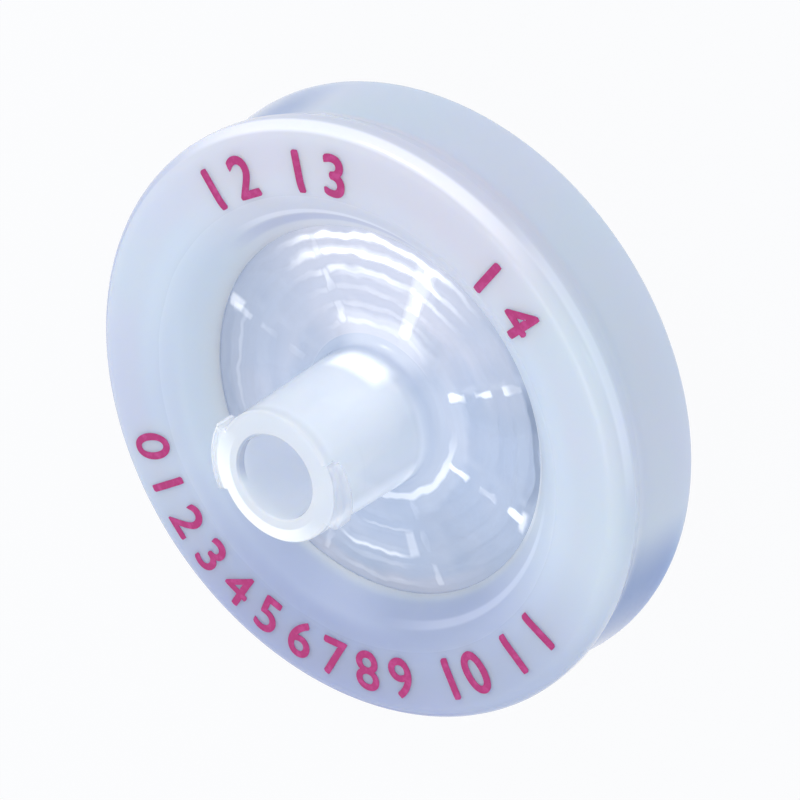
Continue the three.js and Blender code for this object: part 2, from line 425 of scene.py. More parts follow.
def signed_volume(mesh: bpy.types.Mesh) -> float:
    """The volume inside a closed mesh, negative where its faces point inwards."""
    mesh.calc_loop_triangles()
    places = np.empty(len(mesh.vertices) * 3)
    mesh.vertices.foreach_get("co", places)
    corners = np.empty(len(mesh.loop_triangles) * 3, np.int32)
    mesh.loop_triangles.foreach_get("vertices", corners)
    a, b, c = np.moveaxis(places.reshape(-1, 3)[corners.reshape(-1, 3)], 1, 0)
    return float(np.einsum("ij,ij->i", a, np.cross(b, c)).sum() / 6)


class Fields(NamedTuple):
    """Where a shaded point lies: in the row frame's metres, and about the filter's axis in millimetres."""

    where: Sock
    height: Sock
    radius: Sock
    east: Sock
    north: Sock
    outwards: Sock

    def side(self, degrees: float) -> Sock:
        """1 on the side of the axis at this angle, down to -1 on the far side."""
        turn = math.radians(degrees)
        return self.where.tree.dot(self.outwards, (math.cos(turn), math.sin(turn), 0.0))


@dataclass(frozen=True)
class Patch:
    """A soft-edged patch of surface, marked off by radius, direction from the axis and height.

    Attributes:
        radii: Its least and greatest radius, in millimetres.
        towards: Angle round the axis of its middle, in degrees.
        spread: How far it reaches either side of that, in degrees, or 180 for all round.
        share: How strong it is, 0 to 1.
        soft: Width of its edge, in millimetres.
        heights: Its lowest and highest height, or None for any.
    """

    radii: Span
    towards: float
    spread: float
    share: float
    soft: float
    heights: Span | None = None

    # The spread that reaches all round, and the share of a smaller one that is at full strength.
    ALL_ROUND = 180.0
    CORE = 0.4

    def on(self, at: Fields) -> Sock:
        """Its strength at a shaded point."""
        found: Sock | float = self.share
        if self.spread < self.ALL_ROUND:
            rim, core = (math.cos(math.radians(self.spread * part)) for part in (1.0, self.CORE))
            found = at.side(self.towards).ramp(rim, core, 0.0, self.share)
        for value, limits in ((at.radius, self.radii), (at.height, self.heights)):
            if limits:
                low, high = limits
                found = found * value.ramp(low, low + self.soft) * value.fall(high - self.soft, high)
        return found

    @staticmethod
    def all_on(patches: "Sequence[Patch]", at: Fields) -> Sock | float:
        """The strength of several patches together at a shaded point."""
        return sum((patch.on(at) for patch in patches), start=0.0)


@dataclass(frozen=True)
class Placement:
    """Where the filter's own axes lie in the row frame.

    Attributes:
        origin: Centre of the band's rear face, in metres.
        along: Unit vector from outlet to inlet.
    """

    origin: Vector
    along: Vector

    @classmethod
    def from_record(cls, record: dict, hub_top: float) -> "Placement":
        """Reads the placement from the inlet's mount.

        Args:
            record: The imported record.
            hub_top: Height of the hub's end, in millimetres, which the mount lies on.

        Returns:
            The filter's placement.
        """
        mount = next(m for m in record["mounts"] if m["name"] == "inlet_face")
        along = Vector(mount["axis"]).normalized()
        end = Vector((0.0, mount["pos_m"][1], mount["pos_m"][2]))
        return cls(end - along * hub_top * MM, along)

    @property
    def matrix(self) -> Matrix:
        """Takes a point in the filter's millimetres to the row frame's metres."""
        across = Vector((1.0, 0.0, 0.0))
        over = self.along.cross(across)
        turn = Matrix((across, over, self.along)).transposed().to_4x4()
        return Matrix.Translation(self.origin) @ turn @ Matrix.Scale(MM, 4)

    def fields(self, tree: Tree) -> Fields:
        """Where a shaded point lies, as sockets of a material's tree."""
        where = tree.node("ShaderNodeTexCoord").output("Object")
        apart = tree.vector("SUBTRACT", where, tuple(self.origin))
        columns = self.matrix.to_3x3().col
        east, north, height = (tree.dot(apart, tuple(column.normalized())) / MM for column in columns)
        outwards = tree.vector("NORMALIZE", tree.point(X=east, Y=north))
        return Fields(where, height, (east * east + north * north).root(), east, north, outwards)

    def dress(
        self, mesh: bpy.types.Mesh, name: str, slot: str, nodes: Sequence[str] = (), sharp: float = 32.0
    ) -> bpy.types.Object:
        """Lays a mesh down and makes it a piece of the object.

        Args:
            mesh: The form, in the filter's millimetres.
            name: The piece's name.
            slot: The record's material slot.
            nodes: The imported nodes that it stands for.
            sharp: Edges that turn more than this many degrees stay crisp.

        Returns:
            The finished piece.
        """
        mesh.transform(self.matrix)
        mesh.shade_smooth()
        mesh.set_sharp_from_angle(angle=math.radians(sharp))
        piece = bpy.data.objects.new(name, mesh)
        bpy.context.scene.collection.objects.link(piece)
        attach(piece, "root")
        if nodes:
            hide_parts(*nodes)
        log.info("%s: %d faces, %s", name, len(mesh.polygons), slot)
        return piece


# ---- Finishes --------------------------------------------------------------------------------


def srgb(red: int, green: int, blue: int) -> Colour:
    """A colour as seen on a screen, 0 to 255, as the linear values that shaders take."""
    def linear(value: int) -> float:
        """One part of the colour, as shaders take it."""
        share = value / 255
        return share / 12.92 if share <= 0.04045 else ((share + 0.055) / 1.055) ** 2.4
    return linear(red), linear(green), linear(blue)


def new_material(name: str) -> tuple[bpy.types.Material, Tree]:
    """An empty material and its tree."""
    material = bpy.data.materials.new(name)
    material.use_nodes = True
    return material, Tree(material.node_tree)


def close_material(tree: Tree, surface: Sock) -> None:
    """Ends a material's tree in its output."""
    tree.node("ShaderNodeOutputMaterial", {}, {"Surface": surface})


@dataclass(frozen=True)
class Tint:
    """A colour laid on a plastic in some places, used for painted light and shade.

    Attributes:
        colour: The colour.
        on: The places.
    """

    colour: Colour
    on: tuple[Patch, ...]


@dataclass(frozen=True)
class Milky:
    """A moulded plastic that scatters light: milky, with a faint cloud and a fine grain, and with painted
    light and shade in places.

    Attributes:
        name: The material's name.
        base: Its colour.
        cloud: The colour that faint clouds in it lean to.
        roughness: How dull its polish is.
        depth: How far light travels in it, in millimetres.
        scatter: Share of the light that travels in it.
        grain: Height of the moulded grain, in millimetres.
        satin: Roughness added near the axis, where the mould is duller.
        satin_within: Radius within which it is.
        backed: Its colour near the axis, where other pieces lie behind it.
        backed_within: Radius within which they do.
        tints: Painted light and shade: colours laid where light comes in, where shade lies, and where it
            looks darker seen along its own depth.
        glow: Strength of its painted light, an emitted glow.
        painted_light_on: Where it gives that painted light off: painted highlights and lines of light.
    """

    name: str
    base: Colour
    cloud: Colour
    roughness: float = 0.3
    depth: float = 1.5
    scatter: float = 0.8
    grain: float = 0.002
    satin: float = 0.0
    satin_within: float = 11.6
    backed: Colour | None = None
    backed_within: float = 12.9
    tints: tuple[Tint, ...] = ()
    glow: float = 0.3
    painted_light_on: tuple[Patch, ...] = ()

    # Waves a metre of its noises, and the middling values of a noise that a soft step spans.
    POLISH_MARKS = 9000.0
    MARK_DEPTH = 0.3
    SWELLS = 900.0
    CLOUDS = 110.0
    WEAR = 420.0
    MIDDLING = (0.3, 0.7)
    UNEVEN = 0.15
    # Widths of the edges of its backed and satin parts, in millimetres, then how far red, green
    # and blue light travels in it for each unit of depth, and how strongly it bends light.
    BLEND = 0.5
    SATIN_EDGE = 0.4
    TRAVEL = (0.8, 0.95, 1.2)
    IOR = 1.49

    def normal(self, tree: Tree, where: Sock) -> Sock:
        """The normal of the moulded grain: fine polish marks over slow swells."""
        marks = tree.noise(where, self.POLISH_MARKS, 0.0) * self.MARK_DEPTH
        height = marks + tree.noise(where, self.SWELLS, 0.0)
        inputs = {"Height": height, "Distance": self.grain * MM, "Strength": 1.0}
        return tree.node("ShaderNodeBump", {}, inputs)

    def colour(self, tree: Tree, at: Fields) -> Sock:
        """Its colour: clouds, what lies behind, and tints of painted light and shade."""
        clouds = tree.noise(at.where, self.CLOUDS, 2.0).ramp(*self.MIDDLING)
        colour = tree.mix_colour(clouds, self.base, self.cloud)
        if self.backed:
            near = at.radius.fall(self.backed_within - self.BLEND, self.backed_within + self.BLEND)
            colour = tree.mix_colour(near, colour, self.backed)
        # Tints paint light and shade into the colour.
        for tint in self.tints:
            colour = tree.mix_colour(Patch.all_on(tint.on, at), colour, tint.colour)
        return colour

    def surface(self, tree: Tree, at: Fields, normal: Sock, glow: Sock) -> Sock:
        """The scattering shader, whose colour and polish drift a little over the surface.

        Args:
            tree: The material's tree.
            at: Where the shaded point lies.
            normal: The surface's normal.
            glow: Colour of the painted light that it gives off, an emitted glow.

        Returns:
            The shader.
        """
        limits = (self.roughness * (1.0 - self.UNEVEN), self.roughness * (1.0 + self.UNEVEN))
        polish = tree.noise(at.where, self.WEAR, 2.0).ramp(*self.MIDDLING, *limits)
        satin_to = self.satin_within + self.SATIN_EDGE
        polish = polish + at.radius.ramp(self.satin_within, satin_to, self.satin, 0.0)
        return tree.node("ShaderNodeBsdfPrincipled", {"subsurface_method": "RANDOM_WALK"}, {
            "Base Color": self.colour(tree, at),
            "Roughness": polish,
            "Subsurface Weight": self.scatter,
            "Subsurface Radius": self.TRAVEL,
            "Subsurface Scale": self.depth * MM,
            "IOR": self.IOR,
            "Emission Color": glow,
            "Emission Strength": 1.0,
            "Normal": normal,
        })

    def material(self, place: Placement) -> bpy.types.Material:
        """Builds the material."""
        made, tree = new_material(self.name)
        at = place.fields(tree)
        # Painted light: an emitted glow on the patches where highlights are painted.
        glow = tree.mix_colour(Patch.all_on(self.painted_light_on, at), BLACK, (self.glow,) * 3)
        close_material(tree, self.surface(tree, at, self.normal(tree, at.where), glow))
        return made


@dataclass(frozen=True)
class Clear:
    """A see-through plastic that is hazy on its inner face and milky where its wall is thick.

    The grid on its inner face gathers the light that travels in the plastic, and that light is painted here
    as an emitted glow. Light bends on its way out and lifts what lies under the outer face, so the painted
    lines of light and the painted shaded lines are drawn on that face.

    Attributes:
        milky: How it looks where it is thick.
        grid: The grid on its inner face.
        inner_at: Height of the inner face, in millimetres.
        outer_at: Height of the outer face.
        haze: Colour of its haze.
        painted_shade_colour: Colour of its painted shade: the shaded lines and the dark places.
        painted_light: Colour of its painted light, the lines of light and highlights that glow.
        pale: Colour of its haze where painted light whitens it, on the side where light comes in.
        painted_hub_glow: Colour of the painted glow that it gives off where it is thick.
        lit_side: Angle round the axis of the side where light comes in, in degrees.
        spoke_side: Angle of the side whose channels get the most painted light.
        outer: See-through share of the outer face.
        inner: See-through share of the inner face.
        thick: See-through share where the wall is thick.
        painted_haze_glow: Share of its haze colour that it gives off as a painted glow.
        painted_light_glow: Share of its painted light that its lines and highlights give off as glow.
        passed: Share of its haze that lets light through from behind.
        mottle: Strength of the painted soft shades that the grid's bent image throws on the window.
        bend: How far the plastic's ripples shift what is seen through it, in millimetres.
        gloss: Share that mirrors, seen square on.
        edge_gloss: Share that is added to it, seen edge on.
        polish: Roughness of what mirrors.
        root_on: Places round the hub's root with painted highlights, which glow.
        wall_on: Places on the hub with painted highlights, which glow.
        lines_on: Places on the outer face with painted lines of light, which glow.
        pale_on: Places on that face where painted light makes the haze whiter.
        painted_shade_on: Places on that face with painted shade, which look dark.
        lugs_on: Places where the wall stands free and shows what is behind it.
    """

    milky: Milky
    grid: "FlowGrid"
    inner_at: float
    outer_at: float
    haze: Colour = srgb(209, 220, 236)
    painted_shade_colour: Colour = srgb(104, 122, 150)
    painted_light: Colour = srgb(250, 252, 255)
    pale: Colour = srgb(255, 247, 247)
    painted_hub_glow: Colour = (0.13, 0.12, 0.115)
    lit_side: float = 138.0
    spoke_side: float = 82.0
    outer: float = 0.56
    inner: float = 0.45
    thick: float = 0.42
    painted_haze_glow: float = 0.24
    painted_light_glow: float = 0.7
    passed: float = 0.3
    mottle: float = 0.2
    bend: float = 0.55
    gloss: float = 0.04
    edge_gloss: float = 0.6
    polish: float = 0.12
    root_on: tuple[Patch, ...] = ()
    wall_on: tuple[Patch, ...] = ()
    lines_on: tuple[Patch, ...] = ()
    pale_on: tuple[Patch, ...] = ()
    painted_shade_on: tuple[Patch, ...] = ()
    lugs_on: tuple[Patch, ...] = ()

    # Waves a metre of the noises that break up its painted light and shade.
    RAGS = 1300.0
    RIPPLES = 800.0
    GLINTS = 620.0
    DRIFTS = 330.0
    SHADES = 270.0
    # Soft steps that shape its painted glints, lines of light and shade: where each starts and ends, and
    # what it gives there if that isn't 0 and 1.
    ARC_GLINT = (0.35, 0.66, 0.6, 1.0)
    DASH_GLINT = (0.35, 0.66, 0.2, 0.9)
    LIT = (0.72, 0.98)
    FOCUS = (0.95, 0.995, 0.0, 0.2)
    SPOKES_LIT = (-0.2, 0.7, 0.35, 1.0)
    FLANK = (0.05, 0.22)
    LAND = (0.15, 0.4)
    INWARDS = (1.9, 2.7, 1.0, 0.35)
    DASH_WIDTH = (0.1, 0.28)
    DASH_LENGTH = (0.45, 0.62)
    PALE_SIDE = (0.5, 1.0, 0.0, 0.8)
    PALE_DRIFT = (0.42, 0.72, 0.0, 0.35)
    MOTTLE = (0.53, 0.6, 0.0)
    # Heights above the outer face between which the grid's painted light comes up to its full strength,
    # the share of it that shows below them, and the like heights for the listed places of painted light
    # and shade and for the milky wall. What lies lower than the slack above the face belongs to the plate.
    DRAWN = (-0.1, -0.05)
    BENEATH = 0.25
    FACE = (-0.7, -0.5)
    WALL = (0.4, 1.9)
    SLACK = 0.02
    # Height above the inner face where its own see-through share ends.
    INNER_FACE = 0.3
    # Strength of the painted shaded lines, dullness of the haze, and how suddenly gloss grows edge on.
    SHADE = 0.12
    HAZE_ROUGHNESS = 0.5
    EDGE_ON = 5.0

    def _ripple(self, tree: Tree, at: Fields, scale: float) -> Sock:
        """How far a ripple of this many waves a metre shifts what is seen, either way."""
        return (tree.noise(at.where, scale, 1.0) - 0.5) * self.bend

    def _on_plate(self, at: Fields) -> Sock:
        """1 on the plate and below it."""
        return at.height.less_than(self.outer_at + self.SLACK)

    def _rising(self, at: Fields, limits: Span, at_low: float = 0.0) -> Sock:
        """A soft step up between two heights above the outer face."""
        low, high = (self.outer_at + limit for limit in limits)
        return at.height.ramp(low, high, at_low, 1.0)

    def _lines(self, tree: Tree, at: Fields) -> tuple[Sock, Sock]:
        """Strengths of the grid's painted lines of light and of its painted shaded lines."""
        grid = self.grid
        step, off_ridge, off_channel = grid.offsets(at.radius, at.north.bearing(at.east), grid.sizes())
        off_channel = off_channel + self._ripple(tree, at, self.RAGS)
        flank = abs(off_ridge - (grid.width + grid.draft) / 2)
        on_grid = step.less_than(grid.ridges) * self._on_plate(at)
        drawn = self._rising(at, self.DRAWN, self.BENEATH) * on_grid
        glint = tree.noise(at.where, self.GLINTS, 1.0)
        # Painted light on the side where light comes in, and a painted focus of it on the far side.
        lit = at.side(self.lit_side).ramp(*self.LIT)
        focus = at.side(self.lit_side + 180.0).ramp(*self.FOCUS)
        arcs = flank.fall(*self.FLANK) * off_channel.ramp(*self.LAND) * step.ramp(*self.INWARDS) * drawn
        arcs_lit = arcs * (lit + focus).at_most(1.0) * glint.ramp(*self.ARC_GLINT)
        dashes = off_channel.fall(*self.DASH_WIDTH) * off_ridge.fall(*self.DASH_LENGTH) * drawn
        dashes_lit = dashes * glint.ramp(*self.DASH_GLINT) * at.side(self.spoke_side).ramp(*self.SPOKES_LIT)
        return arcs_lit + dashes_lit, arcs * (1.0 - lit) * self.SHADE

    def _lit(self, tree: Tree, painted_light: Sock, unlit: Colour) -> Sock:
        """Colour of the painted glow given off: this one, or the painted light where that is strong."""
        return tree.mix_colour(painted_light, unlit, tuple(part * self.painted_light_glow for part in self.painted_light))

    def _plate(self, tree: Tree, at: Fields, normal: Sock) -> Sock:
        """The window: a haze with the grid's painted lines of light, painted highlights and painted shade
        on its outer face.

        Args:
            tree: The material's tree.
            at: Where the shaded point lies.
            normal: The surface's normal.

        Returns:
            The shader.
        """
        on_plate = self._on_plate(at)
        on_face = self._rising(at, self.FACE) * on_plate
        at = at._replace(radius=at.radius + self._ripple(tree, at, self.RIPPLES) * on_plate)
        painted_light, shades = self._lines(tree, at)
        # Painted highlights round the hub's root and in places on the face join the painted lines of light.
        painted_light = painted_light + Patch.all_on(self.root_on, at) + Patch.all_on(self.lines_on, at) * on_face
        painted_light = painted_light.at_most(1.0)
        # The haze turns paler: painted light on the lit side and in places, and a random drift.
        drift = tree.noise(at.where, self.DRIFTS, 1.0).ramp(*self.PALE_DRIFT)
        pale = (at.side(self.lit_side).ramp(*self.PALE_SIDE) + drift) * on_plate
        pale = pale + Patch.all_on(self.pale_on, at) * on_face
        # Painted shade: the shaded lines, the dark places and soft mottled shades darken the haze.
        mottle = tree.noise(at.where, self.SHADES, 0.0).ramp(*self.MOTTLE, self.mottle) * on_plate
        dull = (shades + Patch.all_on(self.painted_shade_on, at) * on_face + mottle).at_most(1.0)
        colour = tree.mix_colour(dull, self.haze, self.painted_shade_colour)
        colour = tree.mix_colour(pale * (1.0 - dull), colour, self.pale)
        colour = tree.mix_colour(painted_light, colour, self.painted_light)
        # The haze and its painted light glow, though no lamp is there.
        painted_haze_glow = tuple(part * self.painted_haze_glow for part in self.haze)
        hazed = tree.node("ShaderNodeBsdfPrincipled", {}, {
            "Base Color": colour,
            "Roughness": self.HAZE_ROUGHNESS,
            "Emission Color": self._lit(tree, painted_light, painted_haze_glow),
            "Emission Strength": 1.0,
            "Normal": normal,
        })
        backlit = tree.node("ShaderNodeBsdfTranslucent", {}, {"Color": self.haze, "Normal": normal})
        seen = at.height.ramp(self.inner_at, self.inner_at + self.INNER_FACE, self.inner, self.outer)
        seen = seen * (1.0 - (painted_light + dull).at_most(1.0))
        return tree.mix_shader(seen, tree.mix_shader(self.passed, hazed, backlit), self._through(tree))

    def _wall(self, tree: Tree, at: Fields, normal: Sock) -> Sock:
        """The hub: milky, with painted light at its rims and a faint painted glow elsewhere.

        Args:
            tree: The material's tree.
            at: Where the shaded point lies.
            normal: The surface's normal.

        Returns:
            The shader.
        """
        painted_light = (Patch.all_on(self.root_on, at) + Patch.all_on(self.wall_on, at)).at_most(1.0)
        # Its glow is painted light: highlights on the patches and a steady glow elsewhere.
        solid = self.milky.surface(tree, at, normal, self._lit(tree, painted_light, self.painted_hub_glow))
        seen = (Patch.all_on(self.lugs_on, at) + self.thick) * (1.0 - painted_light)
        return tree.mix_shader(seen, solid, self._through(tree))

    def _through(self, tree: Tree) -> Sock:
        """A clear view of what is behind."""
        return tree.node("ShaderNodeBsdfTransparent", {}, {"Color": WHITE})

    def material(self, place: Placement) -> bpy.types.Material:
        """Builds the material."""
        made, tree = new_material(self.milky.name)
        at = place.fields(tree)
        normal = self.milky.normal(tree, at.where)
        plate, wall = self._plate(tree, at, normal), self._wall(tree, at, normal)
        body = tree.mix_shader(self._rising(at, self.WALL), plate, wall)
        facing = tree.node("ShaderNodeLayerWeight", {}, {"Blend": 0.5}).output("Facing")
        mirror = tree.node("ShaderNodeBsdfAnisotropic", {}, {"Roughness": self.polish, "Normal": normal})
        sheen = facing.power(self.EDGE_ON) * self.edge_gloss + self.gloss
        close_material(tree, tree.mix_shader(sheen, body, mirror))
        return made


@dataclass(frozen=True)
class Membrane:
    """A cast porous sheet: matte, white, with a fine pore fleck."""

    name: str = "membrane_sheet"
    base: Colour = srgb(230, 238, 253)
    pore: Colour = srgb(220, 230, 248)

    # Waves a metre of its pores, the soft step to their colour, and their depth in millimetres.
    PORES = 6000.0
    FLECK = (0.4, 0.65)
    PORE_DEPTH = 0.01
    ROUGHNESS = 0.85

    def material(self) -> bpy.types.Material:
        """Builds the material."""
        made, tree = new_material(self.name)
        where = tree.node("ShaderNodeTexCoord").output("Object")
        pores = tree.noise(where, self.PORES, 3.0)
        colour = tree.mix_colour(pores.ramp(*self.FLECK), self.base, self.pore)
        normal = tree.node("ShaderNodeBump", {}, {"Height": pores, "Distance": self.PORE_DEPTH * MM})
        close_material(tree, tree.node("ShaderNodeBsdfPrincipled", {}, {
            "Base Color": colour, "Roughness": self.ROUGHNESS, "Normal": normal,
        }))
        return made


@dataclass(frozen=True)
class Ink:
    """Pad-printed ink: a thin even coat that is a little thinner in patches."""

    name: str = "print_ink"
    base: Colour = srgb(186, 38, 118)
    thin: Colour = srgb(200, 66, 138)

    # Waves a metre of its thin patches, and the soft steps to them and to their roughness.
    PATCHES = 2600.0
    THINNED = (0.45, 0.7)
    ROUGHNESS = (0.0, 1.0, 0.4, 0.55)

    def material(self) -> bpy.types.Material:
        """Builds the material."""
        made, tree = new_material(self.name)
        where = tree.node("ShaderNodeTexCoord").output("Object")
        patches = tree.noise(where, self.PATCHES, 3.0).ramp(*self.THINNED)
        colour = tree.mix_colour(patches, self.base, self.thin)
        close_material(tree, tree.node("ShaderNodeBsdfPrincipled", {}, {
            "Base Color": colour, "Roughness": patches.ramp(*self.ROUGHNESS),
        }))
        return made


# ---- Sub-assemblies --------------------------------------------------------------------------


@dataclass(frozen=True)
class Stack:
    """Heights and radii that the filter's pieces share, in millimetres."""

    rear_plate_bottom: float = 0.8
    outlet_plate_top: float = 1.65
    outlet_crest: float = 2.10
    membrane_bottom: float = 2.2
    membrane_top: float = 2.4
    inlet_crest: float = 2.5
    inlet_plate_bottom: float = 2.95
    inlet_plate_top: float = 4.05
    lip_bottom: float = 4.06
    band_height: float = 6.3
    hub_top: float = 12.1
    cup_inner: float = 12.75
    spigot: float = 12.65
    clamp_inner: float = 11.85
    plate: float = 13.4
    band_inner: float = 13.5
    band_outer: float = 15.5


@dataclass(frozen=True)
class FlowGrid:
    """Concentric ridges cut through by straight channels, on a plate's inner face.

    Attributes:
        outer: Radius of the outermost ridge's middle, in millimetres.
        pitch: Distance from one ridge to the next.
        width: Width of a ridge's crest.
        draft: How much each flank leans out down to the plate.
        height: How far the crests stand off the plate.
        ridges: How many ridges.
        channels: How many channels.
        channel_width: Width between a channel's walls.
        azimuth: Angle of the first channel, in degrees.
    """

    outer: float = 10.4
    pitch: float = 1.75
    width: float = 0.8
    draft: float = 0.12
    height: float = 0.45
    ridges: int = 4
    channels: int = 8
    channel_width: float = 0.5
    azimuth: float = 27.5

    # Where rings of points lie in from a flank's foot, in millimetres.
    FLANK_STEPS = (-0.06, 0.0, 0.02, 0.04, 0.06, 0.08, 0.10, 0.12, 0.18)
    # Shares of the way from a channel's wall to its crest, and from there to the sector's end.
    WALL_STEPS = (0.0, 0.25, 0.5, 0.75)
    REST_STEPS = (0.03, 0.15, 0.35, 0.55, 0.78)
    # Greatest sines of the angles to a channel's wall and to its crest.
    WALL_LIMIT = 0.2
    CREST_LIMIT = 0.25
    # Points no farther than this from the plate's inner face belong to it, in millimetres.
    ON_FACE = 0.01

    def radii(self, inner: float, outer: float) -> list[float]:
        """Radii for the face's rings, close together at the flanks of each ridge."""
        found = [inner, outer]
        foot = self.width / 2 + self.draft
        for k in range(self.ridges):
            middle = self.outer - k * self.pitch
            found += [middle + side * (foot - step) for side in (-1, 1) for step in self.FLANK_STEPS]
            found.append(middle)
        return sorted(r for r in found if inner <= r <= outer)

    def angles(self, radius: float) -> np.ndarray:
        """Angles for one ring's points, so that lines of points follow the channels' walls."""
        half = self.channel_width / 2
        wall = math.asin(min(half / radius, self.WALL_LIMIT))
        crest = math.asin(min((half + self.draft) / radius, self.CREST_LIMIT))
        end = math.pi / self.channels
        walls = [wall + (crest - wall) * share for share in self.WALL_STEPS]
        rest = [crest + (end - crest) * share for share in self.REST_STEPS]
        side = np.array([0.0, wall * 0.5, *walls, crest, *rest])
        sector = np.concatenate([side, [end], 2 * end - side[:0:-1]])
        starts = math.radians(self.azimuth) + 2 * end * np.arange(self.channels)
        return (starts[:, None] + sector[None, :]).ravel()

    def sizes(self) -> dict[str, object]:
        """What the rule reads, by the names of its inputs."""
        return {
            "Outer radius": self.outer,
            "Pitch": self.pitch,
            "Ridge width": self.width,
            "Draft": self.draft,
            "Ridges": self.ridges,
            "Channels": self.channels,
            "Channel width": self.channel_width,
            "First channel": math.radians(self.azimuth),
        }

    @staticmethod
    def offsets(radius: Sock, turn: Sock, sizes: "Ports | dict[str, object]") -> tuple[Sock, Sock, Sock]:
        """Where a point lies on the grid.

        Args:
            radius: Its distance from the axis.
            turn: Its angle round the axis, in radians.
            sizes: The rule's inputs.

        Returns:
            How many ridges in from the outermost it is, and its distances from the middle of the
            nearest ridge and of the nearest channel.
        """
        step = (sizes["Outer radius"] - radius) / sizes["Pitch"] + 0.5
        off_ridge = abs(step.fraction() - 0.5) * sizes["Pitch"]
        sector = (turn - sizes["First channel"]) / (math.tau / sizes["Channels"]) + 0.5
        swing = abs(sector.fraction() - 0.5) * (math.tau / sizes["Channels"])
        return step, off_ridge, swing.sine() * radius

    def tree(self, upwards: bool, plate_z: float, finish: bpy.types.Material) -> Ports:
        """The rule that raises the ridges on a plate's inner face.

        Args:
            upwards: Whether the crests stand above the plate or below it.
            plate_z: Height of the plate's inner face.
            finish: The piece's material.

        Returns:
            The geometry tree with its inputs.
        """
        height = self.height if upwards else -self.height
        ports = Ports("flow_grid", self.sizes() | {
            "Height": height, "Plate height": plate_z, "Finish": finish,
        })
        tree = ports.tree
        place = tree.node("GeometryNodeInputPosition")
        parts = tree.node("ShaderNodeSeparateXYZ", {}, {"Vector": place})
        east, north, up = parts.output("X"), parts.output("Y"), parts.output("Z")
        radius = (east * east + north * north).root()
        step, off_ridge, off_channel = self.offsets(radius, north.bearing(east), ports)
        crest = ports["Ridge width"] / 2.0
        ridge = off_ridge.fall(crest, crest + ports["Draft"])
        ridge = ridge * step.less_than(ports["Ridges"]) * (0.0 - step).less_than(0.0)
        wall = ports["Channel width"] / 2.0
        open_land = off_channel.ramp(wall, wall + ports["Draft"])
        on_face = abs(up - ports["Plate height"]).less_than(self.ON_FACE)
        offset = tree.point(Z=ridge * open_land * on_face * ports["Height"])
        raised = tree.node("GeometryNodeSetPosition", {}, {"Geometry": ports["Geometry"], "Offset": offset})
        ports.finish(raised, ports["Finish"])
        return ports


@dataclass
class Housing:
    """What the inlet and outlet housings share."""

    stack: Stack
    place: Placement
    finish: Milky | Clear
    grid: FlowGrid = field(default_factory=FlowGrid)

    # Radius where the flow grid's face starts, and the one within which walls would crowd.
    FACE_FROM = 2.6
    CROWDED = 2.4
    # How far off the helping corners lie that close an outline, and are cut away again.
    ASIDE = 3.0
    BEYOND = 1.0

    @property
    def stations(self) -> int:
        """How many points each ring has."""
        return len(self.grid.angles(self.stack.plate))

    def grid_ring(self, r: float, z: float) -> Ring:
        """A ring whose points follow the channels' walls."""
        return Ring.flat(r, z, self.grid.angles(max(r, self.CROWDED)))

    def even_ring(self, r: float, z: float) -> Ring:
        """A ring with even points, turned so that its first point is on the first channel."""
        return Ring.flat(r, z, even_angles(self.stations) + math.radians(self.grid.azimuth))


